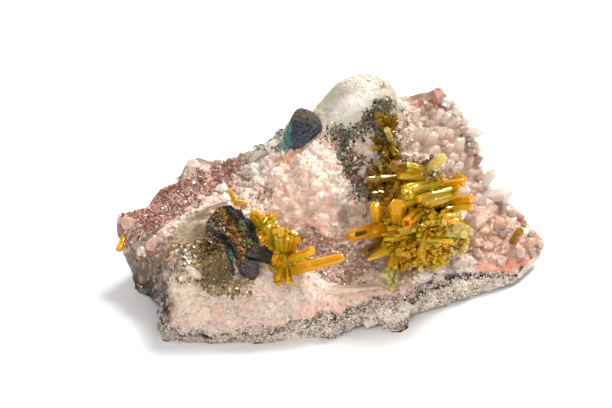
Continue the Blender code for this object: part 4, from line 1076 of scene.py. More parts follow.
class Finish:
    """A material being mixed: a Principled shader and the nodes that feed it."""

    def __init__(self, name, **values):
        self.material = bpy.data.materials.new(name)
        self.material.use_nodes = True
        self.tree = self.material.node_tree
        self.shader = self.tree.nodes["Principled BSDF"]
        for socket, value in values.items():
            self.shader.inputs[socket.replace("_", " ")].default_value = value

    def node(self, kind, inputs=None, **settings):
        made = self.tree.nodes.new("ShaderNode" + kind)
        for key, value in settings.items():
            setattr(made, key, value)
        for socket, value in (inputs or {}).items():
            if isinstance(value, bpy.types.NodeSocket):
                self.tree.links.new(value, made.inputs[socket])
            else:
                made.inputs[socket].default_value = value
        return made

    def feed(self, socket, source):
        self.tree.links.new(source, self.shader.inputs[socket])

    def read(self, attribute, output="Color"):
        return self.node("Attribute", attribute_name=attribute).outputs[output]

    def place(self):
        return self.node("TexCoord").outputs["Object"]

    def noise(self, size, detail=2.0, vector=None, stretch=None, rough=0.5):
        """Noise of a size in millimetres over the object's own coordinates."""
        vector = vector or self.place()
        if stretch:
            vector = self.node("Mapping", {"Vector": vector, "Scale": stretch}).outputs["Vector"]
        inputs = {"Vector": vector, "Scale": 1 / (size * MM), "Detail": detail, "Roughness": rough}
        return self.node("TexNoise", inputs).outputs["Fac"]

    def spread(self, value, low, high, to_low, to_high):
        """A value carried from one range to another."""
        inputs = {"Value": value, "From Min": low, "From Max": high, "To Min": to_low, "To Max": to_high}
        return self.node("MapRange", inputs).outputs["Result"]

    def times(self, first, second):
        return self.node("Math", {0: first, 1: second}, operation="MULTIPLY").outputs["Value"]

    def total(self, *terms):
        """The sum of several values."""
        result = terms[0]
        for term in terms[1:]:
            result = self.node("Math", {0: result, 1: term}, operation="ADD").outputs["Value"]
        return result

    def vector(self, operation, first, second):
        return self.node("VectorMath", {0: first, 1: second}, operation=operation).outputs["Vector"]

    def scale(self, colour, factor):
        return self.node("VectorMath", {0: colour, "Scale": factor}, operation="SCALE").outputs["Vector"]

    def mottled(self, size, low, high, detail=3.0, rough=0.5):
        """The piece's own tones, lighter and darker by noise of a size in millimetres."""
        shade = self.spread(self.noise(size, detail, rough=rough), 0.3, 0.7, low, high)
        self.feed("Base Color", self.scale(self.read("tint"), shade))

    def cells(self, size, vector=None):
        """A random colour and a distance for each cell of a size in millimetres."""
        return self.node("TexVoronoi", {"Vector": vector or self.place(), "Scale": 1 / (size * MM)}).outputs

    def offset(self, cell, amount):
        """A random offset for each cell, of an amount."""
        return self.scale(self.vector("SUBTRACT", cell["Color"], (0.5, 0.5, 0.5)), amount)

    def tipped(self, cell, amount):
        """The surface's normal tipped at random in each cell, so that single cells catch the light."""
        normal = self.node("NewGeometry").outputs["Normal"]
        tipped = self.vector("ADD", self.offset(cell, amount), normal)
        return self.node("VectorMath", {0: tipped}, operation="NORMALIZE").outputs["Vector"]

    def bump(self, height, strength, distance, normal=None):
        """A bump of a height in millimetres, over a normal of its own if one is given."""
        inputs = {"Height": height, "Strength": strength, "Distance": distance * MM}
        if normal:
            inputs["Normal"] = normal
        self.feed("Normal", self.node("Bump", inputs).outputs["Normal"])


def rock_finish():
    """Quartz and host rock: the painted tones broken up into crystal cells, each a little lighter,
    darker or pinker than the next, with relief that follows the cells. All of it is weak on smooth
    ground and strong on gritty ground."""
    finish = Finish("rock", Subsurface_Scale=0.6 * MM, IOR=1.54, Specular_IOR_Level=0.3,
                    Subsurface_Radius=(1.0, 0.75, 0.6))
    grit = finish.read("grit", "Fac")
    cell = finish.cells(0.62)
    fine = finish.cells(0.26)
    hue = finish.vector("ADD", finish.offset(cell, finish.spread(grit, 0, 1, 0.04, 0.2)), (1, 1, 1))
    colour = finish.vector("MULTIPLY", finish.read("tint"), hue)
    speck = finish.noise(0.3, 3.0, rough=0.75)
    grain = finish.node("SeparateXYZ", {"Vector": fine["Color"]}).outputs["X"]
    shade = finish.total(finish.times(finish.total(speck, -0.5), 1.1),
                         finish.times(finish.total(grain, -0.5), 0.25))
    factor = finish.total(finish.times(shade, finish.spread(grit, 0, 1, 0.14, 1.4)), 1.0)
    finish.feed("Base Color", finish.scale(colour, factor))
    finish.feed("Roughness", finish.spread(grit, 0, 1, 0.25, 0.75))
    finish.feed("Subsurface Weight", finish.spread(grit, 0.1, 0.5, 0.3, 0.05))
    streak = finish.noise(0.45, 2.0, stretch=(1, 1, 0.2))
    relief = finish.total(finish.noise(0.6, 4.0, rough=0.65), finish.times(streak, 0.5),
                          finish.times(cell["Distance"], 0.5), finish.times(fine["Distance"], 0.35))
    relief = finish.times(relief, finish.spread(grit, 0, 1, 0.25, 1.3))
    finish.bump(relief, 1.0, 0.26, finish.tipped(fine, 0.4))
    return finish.material


def druse_finish(name, roughness, clearness):
    """Small quartz crystals: milky, with smooth faces that catch the light."""
    finish = Finish(name, Roughness=roughness, IOR=1.54, Transmission_Weight=clearness,
                    Subsurface_Weight=0.3, Subsurface_Scale=0.9 * MM, Subsurface_Radius=(1.0, 0.8, 0.7))
    finish.mottled(0.6, 0.88, 1.1)
    finish.bump(finish.noise(0.35, 3.0), 0.3, 0.08)
    return finish.material


def milky_finish():
    """Milky quartz: light goes well into it, so its edges glow and its faces are soft."""
    finish = Finish("milky_quartz", Roughness=0.18, IOR=1.54, Transmission_Weight=0.25,
                    Subsurface_Weight=0.7, Subsurface_Scale=1.2 * MM, Subsurface_Radius=(1.0, 0.8, 0.7))
    finish.mottled(0.8, 0.86, 1.1, rough=0.6)
    finish.bump(finish.noise(0.5, 3.0), 0.3, 0.12, finish.tipped(finish.cells(0.7), 0.12))
    return finish.material


def crumb_finish(name, roughness, depth):
    """Crumbly or stony matter: its own tones, mottled, with a rough grain."""
    finish = Finish(name, Roughness=roughness, Specular_IOR_Level=0.3)
    finish.mottled(0.22, 0.6, 1.35, rough=0.7)
    finish.bump(finish.noise(0.3, 4.0, rough=0.65), 0.9, depth)
    return finish.material


def ore_finish():
    """Dark ore, dull and finely pitted."""
    finish = Finish("ore", Roughness=0.62, Specular_IOR_Level=0.35)
    finish.mottled(0.2, 0.5, 1.9, rough=0.75)
    finish.bump(finish.noise(0.25, 4.0), 0.9, 0.14)
    return finish.material


def mimetite_finish(settings):
    """Amber crystal, half clear and half glowing, faintly striped along its length by growth lines,
    its faces stepped. Stretches are shares of a millimetre in the crystal's own coordinates."""
    finish = Finish("mimetite", Roughness=settings.roughness, IOR=settings.ior,
                    Transmission_Weight=settings.clearness, Specular_Tint=(*settings.sheen, 1),
                    Subsurface_Weight=0.85, Subsurface_Scale=0.4 * MM, Subsurface_Radius=(1.0, 0.85, 0.4))
    local = finish.read("local", "Vector")
    stripes = finish.noise(1.0, 2.0, vector=local, stretch=(4 * MM, 4 * MM, 0.25 * MM))
    stretched = finish.node("Mapping", {"Vector": local, "Scale": (2.4 * MM, 2.4 * MM, 1.2 * MM)})
    steps = finish.cells(1.0, stretched.outputs["Vector"])
    shade = finish.spread(stripes, 0.3, 0.7, 0.84, 1.08)
    finish.feed("Base Color", finish.scale(finish.read("tint"), shade))
    finish.bump(stripes, 0.15, 0.08, finish.tipped(steps, settings.steps))
    volume = finish.node("VolumeAbsorption", {"Color": (*settings.glow, 1), "Density": settings.depth})
    output = finish.tree.nodes["Material Output"]
    finish.tree.links.new(volume.outputs["Volume"], output.inputs["Volume"])
    return finish.material


def core_finish(name):
    """Massive mimetite: waxy, half clear, with small faces that glitter."""
    finish = Finish(name, Roughness=0.16, IOR=1.7, Specular_Tint=(1.0, 0.85, 0.5, 1),
                    Subsurface_Weight=0.3, Subsurface_Scale=0.8 * MM, Subsurface_Radius=(1.0, 0.6, 0.1))
    finish.mottled(0.3, 0.35, 1.3, rough=0.75)
    finish.bump(finish.noise(0.3, 3.0), 0.6, 0.12, finish.tipped(finish.cells(0.4), 0.7))
    return finish.material


def shade_window_finish():
    """Painted shade for the window of a clear crystal: dark and dull."""
    finish = Finish("hollow", Roughness=0.4, Specular_IOR_Level=0.1)
    finish.mottled(0.22, 0.6, 1.35, rough=0.7)
    return finish.material


def square_to(axis):
    """Two directions square to each axis and to each other."""
    aside = np.where(np.abs(axis[:, 2:]) < 0.9, [[0.0, 0.0, 1.0]], [[1.0, 0.0, 0.0]])
    first = unit(np.cross(aside, axis))
    return first, np.cross(axis, first)


def crystal_shapes(base, tip, width, roll, end, sides=6, corner=0.0, depth=1.0):
    """Prisms: rings of an outline, each a share of the length and width along the axis, with a
    cap at both ends. A corner is cut off at an angle either side, and a depth flattens them.
    Returns points, faces, each point's place in its own crystal and the points of one crystal."""
    base, tip, width = np.asarray(base, float), np.asarray(tip, float), np.asarray(width, float)
    axis = tip - base
    length = np.linalg.norm(axis, axis=1)
    axis = unit(axis)
    first, second = square_to(axis)
    rings = np.array(ENDS[end])
    corners = ALL_ROUND * np.arange(sides) / sides
    if corner:
        corners = np.sort(np.concatenate([corners - corner, corners + corner]))
    angle = corners[None, :] + np.asarray(roll)[:, None]
    along = rings[None, :, 0] * length[:, None] + rings[None, :, 1] * width[:, None]
    radius = rings[None, :, 2] * width[:, None] / 2
    x = radius[:, :, None] * np.cos(angle)[:, None, :]
    y = depth * radius[:, :, None] * np.sin(angle)[:, None, :]
    z = np.broadcast_to(along[:, :, None], x.shape)
    local = np.stack([x, y, z], axis=3).reshape(len(base), -1, 3)
    caps = np.zeros((len(base), 2, 3))
    caps[:, 1, 2] = along[:, -1]
    local = np.concatenate([local, caps], axis=1)
    frames = np.stack([first, second, axis], axis=1)
    points = base[:, None, :] + np.einsum("nvk,nkj->nvj", local, frames)
    count, ring = local.shape[1], len(corners)
    grid = np.arange(len(rings) * ring).reshape(len(rings), ring)
    after = np.roll(grid, -1, axis=1)
    quads = np.stack([grid[:-1], after[:-1], after[1:], grid[1:]], axis=-1).reshape(-1, 4)
    low = np.column_stack([np.full(ring, count - 2), after[0], grid[0]])
    high = np.column_stack([np.full(ring, count - 1), grid[-1], after[-1]])
    shift = (np.arange(len(base)) * count)[:, None, None]
    faces = (quads[None] + shift).reshape(-1, 4).tolist()
    faces += (np.concatenate([low, high])[None] + shift).reshape(-1, 3).tolist()
    return points.reshape(-1, 3), faces, local.reshape(-1, 3), count


def facing_roll(base, tip, toward):
    """The roll that turns a side of each prism toward a direction."""
    first, second = square_to(unit(np.asarray(tip, float) - np.asarray(base, float)))
    return np.arctan2(second @ toward, first @ toward) - math.pi / 6


def glint_roll(base, tip):
    """The roll that turns a side of each prism toward the glint direction."""
    return facing_roll(base, tip, unit(np.array(GLINT)))


def join_shapes(shapes):
    """Several (points, faces, tint, local) as one."""
    faces = []
    start = 0
    for points, part_faces, _, _ in shapes:
        faces += [[corner + start for corner in face] for face in part_faces]
        start += len(points)
    points, tint, local = (np.vstack([shape[key] for shape in shapes]) for key in (0, 2, 3))
    return points, faces, tint, local


def jittered_grid(low, high, spacing, chance):
    """Evenly spread places: the nodes of a square grid, each moved at random within its cell."""
    across = np.arange(low[0], high[0], spacing)
    up = np.arange(low[1], high[1], spacing)
    places = np.stack(np.meshgrid(across, up), axis=-1).reshape(-1, 2)
    return places + chance.uniform(-0.45, 0.45, places.shape) * spacing


def inside_rim(places, share):
    """True where a place lies within a share of the way to the rim."""
    bearing, away = from_middle(places)
    return away < share * BLOCK.rim_radius(bearing)


def plant(places, width, rise, lean, chance, end, tint, sink, sides=6, toward=(0, 0, 0)):
    """Crystals that stand on the broad face at given places: along its normal, moved toward a
    direction and then at random, and sunk in it by a share of their rise."""
    count = len(places)
    seat = skin(places)
    axis = unit(BLOCK.normals(places) + np.array(toward) + chance.normal(0, lean, (count, 3)))
    base = seat - axis * (sink * rise)[:, None]
    tip = seat + axis * rise[:, None]
    roll = chance.uniform(0, ALL_ROUND, count)
    points, faces, local, each = crystal_shapes(base, tip, width, roll, end, sides)
    return points, faces, np.repeat(tint, each, axis=0), local


def varied(shares, count, chance, spread):
    """Tones for many small pieces: drawn from a few names by share, each a little lighter or darker."""
    odds = list(shares.values())
    choice = chance.choice(len(odds), count, p=np.array(odds) / sum(odds))
    colours = np.array([tone(name) for name in shares])[choice]
    return np.clip(colours * (1 + chance.normal(0, spread, (count, 1))), 0, 1)


def local_tones(places, shares, chance, spread, share):
    """Tones for small pieces: drawn from a few names, then moved toward the face's own colour."""
    own = face_colours(BLOCK.at(places), places)[0]
    drawn = varied(shares, len(places), chance, spread)
    return drawn * (1 - share) + own * share * (1 + chance.normal(0, spread, (len(places), 1)))


def add_grains(name, seats, sizes, tint, chance, finish, nodes=("matrix",)):
    """Angular grains: eight-faced solids whose six corners are moved at random, and none of which
    reaches below the surface that the specimen rests on."""
    corners = np.array([[1, 0, 0], [0, 1, 0], [-1, 0, 0], [0, -1, 0], [0, 0, 1], [0, 0, -1]], float)
    sides = np.array([[0, 1, 4], [1, 2, 4], [2, 3, 4], [3, 0, 4], [1, 0, 5], [2, 1, 5], [3, 2, 5], [0, 3, 5]])
    count, each = len(seats), len(corners)
    turn = np.linalg.qr(chance.normal(0, 1, (count, 3, 3)))[0]
    turn[:, :, 0] *= np.sign(np.linalg.det(turn))[:, None]
    shape = corners[None] * chance.uniform(0.6, 1.2, (count, each, 1))
    shape = np.einsum("nvk,njk->nvj", shape, turn)
    points = (seats[:, None, :] + shape * (sizes / 2)[:, None, None]).reshape(-1, 3)
    points[:, 2] = np.maximum(points[:, 2], 0)
    faces = (sides[None] + (np.arange(count) * each)[:, None, None]).reshape(-1, 3)
    add_piece(name, points, faces.tolist(), np.repeat(tint, each, axis=0), finish, nodes)


def lump_points(middle, reach, thickness, directions, grow=0.0, swell=1.0):
    """A dome over the broad face: an outline of reaches, raised by a thickness and rooted below.
    swell carries each direction out or in."""
    place = in_face(middle)[:2]
    knots = np.linspace(0, ALL_ROUND, len(reach) + 1)
    bearing = np.arctan2(directions[:, 1], directions[:, 0]) % ALL_ROUND
    outline = np.interp(bearing, knots, [*reach, reach[0]]) + grow
    swell = np.broadcast_to(swell, outline.shape)
    places = place + (swell * outline)[:, None] * directions[:, :2]
    above = (thickness + grow) * directions[:, 2] * swell
    rise = np.where(directions[:, 2] > 0, above, LUMP_DEPTH * directions[:, 2])
    return in_world(np.column_stack([places, BLOCK.front(places) + rise])), places


def convex_stone(directions, planes, chance, top=0.0):
    """A stone with flat sides: in each direction, the nearest of several tilted planes, the first
    of which can be laid flat across the top."""
    normals = unit(chance.normal(0, 1, (planes, 3)))
    reach = chance.uniform(0.72, 1.0, planes)
    if top:
        normals[0], reach[0] = (0, 0, 1), top
    distance = reach[None, :] / np.maximum(directions @ normals.T, 1e-3)
    return np.minimum(distance.min(axis=1), LONGEST_SIDE), np.argmin(distance, axis=1)


def rear_colours(points, ragged, host):
    """Linear colours of the back and the underside: pink and grey quartz over dark host rock."""
    rear = blend(tone("dusty_pink"), tone("grey_quartz"), soft_step(-0.3, 0.4, ragged))
    rear = blend(rear, tone("salmon_brown"), soft_step(0.2, 0.8, cloud(points, 2.6, 3, 63)) * 0.6)
    rear = blend(rear, tone("host_dark"), host)
    rear = blend(rear, tone("taupe"), host * soft_step(0.1, 0.8, cloud(points, 2.0, 2, 67)))
    return blend(rear, tone("moss_grey"), soft_step(0.5, 1.0, cloud(points, 1.8, 3, 69)) * 0.7)


def build_matrix(settings):
    """The block: the solid's own surface on a fine grid, with broken planes and grain added."""
    front = np.linspace(0, math.pi / 2, settings.front_rings + 1)[1:]
    back = np.linspace(math.pi / 2, math.pi, settings.back_rings + 1)[1:-1]
    directions, faces = ball(np.concatenate([front, back]), settings.columns)
    points = BLOCK.surface(directions)
    _, _, share, places = BLOCK.spread(directions)
    colours, crust, red = face_colours(points, places)
    behind = directions[:, 2] < -0.02
    ragged = cloud(points, 3.0, 3, 61)
    host = soft_step(9.5, 6.5, points[:, 2] + 2.4 * ragged)
    colours = np.where(behind[:, None], rear_colours(points, ragged, host), colours)
    near = fray(points)
    smooth = smooth_ground(places, near)
    rough = np.where(behind, 0.5 + 0.5 * host, 0.3 + 0.7 * np.maximum(crust, 0.6 * red))
    rough = rough * (1 - 0.8 * np.maximum(smooth, packed_share(places, near)) * ~behind)
    ahead = broken(points, places, smooth) * (0.3 + 0.7 * soft_step(1.0, 0.93, share))
    rise = np.where(behind, broken(points, places * 0, smooth * 0), ahead)
    points = points + rise[:, None] * in_world(directions)
    points[:, 2] = np.maximum(points[:, 2], 0)
    grit = np.clip(rough + 0.25 * ragged * (1 - smooth), 0, 1)
    rock = add_piece("matrix_rock", points, faces, colours, rock_finish(), extra={"grit": grit})
    rock.data.shade_smooth()


def build_sugar(settings):
    """Sugary quartz over the broad face: small glossy grains in tones near the ground's own."""
    chance = np.random.default_rng(settings.seed + 6)
    places = jittered_grid(*SUGAR_AREA, settings.sugar_spacing, chance)
    above = places[:, 1] > seam_height(places[:, 0]) + 0.15
    rough = chance.uniform(0, 1, len(places)) > smooth_ground(places, fray_at(places)) * 1.2
    places = places[above & rough & inside_rim(places, 0.975)]
    count = len(places)
    tint = local_tones(places, SUGAR_TONES, chance, 0.09, 0.75)
    width = chance.uniform(0.3, 0.95, count) ** 1.3
    rise = chance.uniform(0.02, 0.2, count) * (0.5 + width)
    points, faces, tint, _ = plant(places, width, rise, 0.4, chance, "grain", tint, sink=1.5, sides=5)
    add_piece("quartz_sugar", points, faces, tint, druse_finish("sugar_quartz", 0.22, 0.05))


def build_blocks():
    """The larger broken quartz on the face: stones with flat sides, each in the frame of the
    ground under it."""
    chance = np.random.default_rng(9)
    directions, sides = even_ball(24, 40)
    shapes = []
    for middle, reach, turn, name in BLOCKS.values():
        seat = skin(np.array([middle]))[0]
        out = BLOCK.normals(np.array([middle]))[0]
        angle = math.radians(turn)
        along = in_world([math.cos(angle), math.sin(angle), 0.0])
        along = unit(along - (along @ out) * out)
        swell, _ = convex_stone(directions, STONE_PLANES, chance)
        local = directions * swell[:, None] * np.array(reach)
        points = seat + local @ np.array([along, np.cross(out, along), out])
        shapes.append((points, sides, tone(name) * (1 + 0.12 * cloud(points, 0.6, 2, 31))[:, None], local))
    points, faces, tint, _ = join_shapes(shapes)
    add_piece("quartz_blocks", points, faces, tint, druse_finish("block_quartz", 0.3, 0.12))


def build_right_druse(settings):
    """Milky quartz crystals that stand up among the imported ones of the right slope, and a row of
    them along its edge."""
    chance = np.random.default_rng(settings.seed)
    middle = in_face(CORES["cluster"][0])[:2]
    shapes = []
    for spacing, kept, width, rise, reach in DRUSE_SIZES:
        places = jittered_grid(*DRUSE_AREA, spacing, chance)
        clear = np.linalg.norm((places - middle) / CLUSTER_SHADOW, axis=1) > 0.9
        right = places[:, 0] > 9.0 + 0.25 * np.abs(places[:, 1] - 10)
        above = places[:, 1] > seam_height(places[:, 0]) + 1.4
        band = inside_rim(places, reach[1]) & ~inside_rim(places, reach[0])
        places = places[band & clear & right & above & (chance.uniform(0, 1, len(places)) < kept)]
        across = chance.uniform(*width, len(places))
        up = chance.uniform(*rise, len(places))
        tint = local_tones(places, DRUSE_TONES, chance, 0.03, 0.6)
        shapes.append(plant(places, across, up, settings.lean, chance, "quartz", tint, 1.0, 6, DRUSE_TOWARD))
    points, faces, tint, _ = join_shapes(shapes)
    add_piece("quartz_druse_right", points, faces, tint, milky_finish())


def build_quartz_points():
    """The larger, clearer quartz crystals that stand out of the right edge."""
    base, tip, width = zip(*QUARTZ_POINTS.values())
    chance = np.random.default_rng(5)
    points, faces, _, each = crystal_shapes(base, tip, width, chance.uniform(0, 1, len(base)), "quartz")
    tint = varied({"milk": 2, "druse_pale": 3}, len(base), chance, 0.03)
    add_piece("quartz_points", points, faces, np.repeat(tint, each, axis=0), milky_finish())


def build_tiny_druse(name, bed, seed, spacing):
    """A bed of tiny quartz crystals, as full as its mask says."""
    area, apart, full, widths, rises, shares, spread, light, finish, roughness = TINY_BEDS[name]
    chance = np.random.default_rng(seed)
    places = jittered_grid(*area, spacing * apart, chance)
    held = bed(places, fray_at(places)) * full
    places = places[(chance.uniform(0, 1, len(places)) < held) & inside_rim(places, 0.985)]
    width = chance.uniform(*widths, len(places))
    rise = chance.uniform(*rises, len(places))
    tint = varied(shares, len(places), chance, spread) * light
    points, faces, tint, _ = plant(places, width, rise, 0.55, chance, "grain", tint, sink=1.0, sides=5)
    add_piece("quartz_druse_" + name, points, faces, tint, druse_finish(finish, roughness, 0.1))


def crust_top(bearing):
    """The share of the way to the rim where the crust starts on each bearing: the first one below
    the seam, frayed."""
    shares = np.linspace(0.02, 1.0, 260)
    turn, share = np.meshgrid(bearing, shares, indexing="ij")
    places = BLOCK.places(turn.ravel(), share.ravel())
    below = (places[:, 1] < seam_height(places[:, 0])).reshape(turn.shape)
    top = np.where(below.any(axis=1), shares[np.argmax(below, axis=1)], CRUST_START[1])
    ragged = cloud(np.column_stack([bearing * 14, bearing * 0, bearing * 0]), 1.1, 3, 17)
    return np.clip(top + 0.012 + 0.022 * ragged, *CRUST_START)


def crust_colours(points, lumps):
    """Linear colours of the crust: mottled host rock, smoky at the foot on the right, and painted shade:
    dark in its dips and under its lip, and darker toward the left."""
    mottle = cloud(points, 0.5, 3, 37)
    tint = blend(tone("host"), tone("host_dark"), soft_step(0.1, 0.9, mottle))
    tint = blend(tint, tone("milk"), soft_step(0.35, 1.0, -mottle) * 0.8)
    # Painted shade: the dips between the crust's lumps darkened
    dips = np.zeros(len(points))
    dips[:len(lumps)] = soft_step(-0.15, -0.5, lumps)
    tint = blend(tint, tone("shadow_brown"), dips * 0.55)
    # Painted shade under the crust's lip: its top rows darkened
    lip = np.zeros(len(points))
    lip[:len(LIP_SHADE) * CRUST_COLUMNS] = np.repeat(LIP_SHADE, CRUST_COLUMNS)
    tint = blend(tint, tone("shadow_brown"), lip * soft_step(-0.6, 0.1, cloud(points, 1.4, 2, 39)))
    low = soft_step(1.2, 0.2, points[:, 2]) * soft_step(5.0, 8.0, points[:, 0])
    tint = blend(tint, tone("smoke"), low * 0.3)
    # Painted shade: darker toward the left, under the overhanging left end
    return tint * (1 - 0.35 * soft_step(-4.0, -14.0, points[:, 0]))[:, None]


def build_crust(settings):
    """The host rock below the seam: a band from the seam down to the rim and under it, lifted
    off the block by a ragged thickness, and closed by a sunken inner side."""
    bearing = np.linspace(*CRUST_BEARINGS, CRUST_COLUMNS)
    top = crust_top(bearing)
    run = np.linspace(0, 1, CRUST_ROWS)
    polar = top[None, :] + (CRUST_END - top[None, :]) * run[:, None]
    out = on_sphere(polar * math.pi / 2, np.broadcast_to(bearing, polar.shape)).reshape(-1, 3)
    points = BLOCK.surface(out)
    ends = np.minimum(1, 12 * np.minimum(np.linspace(0, 1, CRUST_COLUMNS), np.linspace(1, 0, CRUST_COLUMNS)))
    lip = np.minimum(1, np.minimum(run / 0.05, (1 - run) / 0.08))
    lift = (lip[:, None] ** 0.5 * ends[None, :]).ravel()
    lumps = 0.55 * facets(points, 1.6, 29) + 0.25 * facets(points, 0.7, 33)
    lumps += settings.crust_roughness * cloud(points, 1.3, 4, 23)
    height = lift * (CRUST_LIFT + lumps) - CRUST_SUNK
    outer = (points + height[:, None] * in_world(out)).reshape(CRUST_ROWS, -1, 3)
    inner = (points - CRUST_ROOT * in_world(out)).reshape(CRUST_ROWS, -1, 3)
    section = np.concatenate([outer, inner[::-INNER_ROW_STEP]], axis=0)
    section[..., 2] = np.maximum(section[..., 2], 0)
    grid = np.arange(section.shape[0] * section.shape[1]).reshape(section.shape[:2]).T
    faces = loop_faces(grid).tolist()
    faces += [grid[0, ::-1].tolist(), grid[-1].tolist()]
    points = section.reshape(-1, 3)
    tint = crust_colours(points, lumps)
    add_piece("host_crust", points, faces, tint, crumb_finish("host_rock", 0.85, 0.16))


def build_crust_grains(settings):
    """Sand-sized grains of white, beige, black and green on the host rock's crust."""
    chance = np.random.default_rng(settings.seed + 3)
    bearing = chance.uniform(*CRUST_BEARINGS, settings.crust_grains)
    share = 1 - chance.uniform(0, 0.45, settings.crust_grains)
    places = BLOCK.places(bearing, share)
    places = places[places[:, 1] < seam_height(places[:, 0]) - 0.2]
    seats = BLOCK.at(places) + (CRUST_LIFT - CRUST_SUNK) * BLOCK.normals(places)
    sizes = chance.uniform(0.12, 0.3, len(places))
    tint = varied(SAND_TONES, len(places), chance, 0.1)
    add_grains("host_grains", seats, sizes, tint, chance, crumb_finish("host_sand", 0.7, 0.03))


def gossan_colours(points, places):
    """Colours of the gossan: brown crumb, black ridge and cleft, a hump of sand, gold low down, and the
    slash black, partly the ore streak's own colour and partly painted shadow in its crack. Returns also
    the sand's mask and where ridge, cleft and greens hold the grains' tones."""
    ragged = cloud(points, 1.0, 3, 113)
    fleck = cloud(points, 0.45, 3, 131)
    tint = blend(tone("bark"), tone("gold_earth"), soft_step(0.1, 0.8, fleck))
    tint = blend(tint, tone("black"), soft_step(0.1, 0.8, -fleck) * 0.8)
    sand = patch_mask(places, *GOSSAN_SAND, ragged)
    tint = blend(tint, tone("sand"), sand * 0.9)
    tint = blend(tint, tone("bark"), soft_step(-0.1, 0.6, fleck) * sand * 0.6)
    low = soft_step(1.2, -0.6, places[:, 1] + 0.5 * ragged) * (1 - sand)
    tint = blend(tint, tone("ochre"), low * 0.9)
    left = soft_step(-14.2, -15.6, places[:, 0] + 0.6 * ragged)
    tint = blend(tint, tone("cream"), left * 0.5)
    held = np.zeros(len(points))
    # The slash is blackened as painted shadow in its crack, over the ore streak's own black
    for path, width in ((GOSSAN_RIDGE, 0.7), (GOSSAN_CLEFT, 0.55), (GOSSAN_SLASH, 0.6)):
        dark = band_mask(places, path, width, ragged * 0.7)
        tint = blend(tint, tone("black"), dark * 0.95)
        held = np.maximum(held, dark)
    for middle, reach, turn, name, strength in GOSSAN_GREENS:
        green = patch_mask(places, middle, reach, turn, ragged) * strength
        tint = blend(tint, tone(name), green)
        held = np.maximum(held, green)
    return tint, sand, held


def gossan_rise(points, places, sand):
    """How far the gossan's crumbs, sand and black ridge stand out and its cleft and slash dip, in mm."""
    crumb = patch_mask(places, *GOSSAN_CRUMB, cloud(points, 1.0, 3, 113))
    folded = np.abs(cloud(points, 1.3, 3, 113)) * 0.9 + 0.35 * np.abs(cloud(points, 0.5, 2, 127)) - 0.55
    rise = folded * (0.5 + 0.5 * crumb) * (1 - 0.7 * sand) + (0.1 + 0.35 * facets(points, 0.6, 129)) * sand
    rise -= 0.75 * (1 - np.maximum(crumb, sand))
    rise += 0.8 * band_mask(places, GOSSAN_RIDGE, 0.5, 0.0) - 0.6 * band_mask(places, GOSSAN_CLEFT, 0.4, 0.0)
    return rise - 0.5 * band_mask(places, GOSSAN_SLASH, 0.5, 0.0)


def build_gossan(settings):
    """The crumbly brown patch: the solid's dome on a fine grid, thin toward its ragged edge, with
    a raised black ridge, a cleft and a hump of sand, and crumbs all over."""
    directions, faces = even_ball(110, 230)
    ragged = cloud(directions * 3, 1.0, 3, 109)
    points, places = lump_points(*GOSSAN, directions, 0.2, 0.92 + 0.09 * ragged)
    tint, sand, held = gossan_colours(points, places)
    upper = np.clip(directions[:, 2] * 4, 0, 1)
    points = points + (upper * gossan_rise(points, places, sand))[:, None] * OUTWARD
    add_piece("gossan_mound", points, faces, tint, crumb_finish("gossan", 0.8, 0.22), ["gossan"])
    chance = np.random.default_rng(settings.seed + 4)
    count = settings.gossan_grains
    pick = chance.choice(np.flatnonzero(directions[:, 2] > 0.05), count)
    seats = points[pick] + chance.uniform(-0.12, 0.12, (count, 1)) * OUTWARD
    drawn = varied(CRUMB_TONES, count, chance, 0.15)
    keep = chance.uniform(0, 1, count) < np.maximum(0.55, 1.6 * held[pick])
    tint = np.where(keep[:, None], tint[pick] * chance.uniform(0.6, 1.4, (count, 1)), drawn)
    sizes = chance.uniform(0.14, 0.5, count) * (1 - 0.5 * sand[pick])
    finish = crumb_finish("gossan_crumb", 0.5, 0.03)
    add_grains("gossan_grains", seats, sizes, tint, chance, finish, ["gossan"])


def build_ore():
    """Dark pods and a streak: the solids' domes as stones with flat broken sides. The upper pod is
    blue-black with teal down its left side, a painted highlight."""
    directions, faces = even_ball(60, 100)
    finish = ore_finish()
    for name, (grow, planes, top, seed, dark) in ORE_STONES.items():
        chance = np.random.default_rng(seed)
        swell, side = convex_stone(directions, planes, chance, top)
        points, places = lump_points(*ORE[name], directions, grow, swell)
        rough = 0.16 * facets(points, 0.5, 157) + 0.05 * cloud(points, 0.3, 2, 159)
        points = points + (np.clip(directions[:, 2] * 2 + 0.3, 0, 1) * rough)[:, None] * OUTWARD
        tint = tone(dark) * chance.uniform(0.6, 1.5, planes)[side][:, None]
        if name == "ore_pod_upper":
            # Painted highlight: dark teal laid down the upper pod's left side for the blue-teal sheen there
            across = places[:, 0] - in_face(ORE[name][0])[0] + 0.3 * cloud(points, 0.7, 2, 163)
            tint = blend(tint, tone("teal") * 0.5, soft_step(-1.0, -1.5, across) * 0.8)
            tint = blend(tint, tone("olive_grit") * 0.5, soft_step(0.6, 1.5, places[:, 1] - 16.9) * 0.6)
        add_piece(name + "_stone", points, faces, tint, finish, [name])


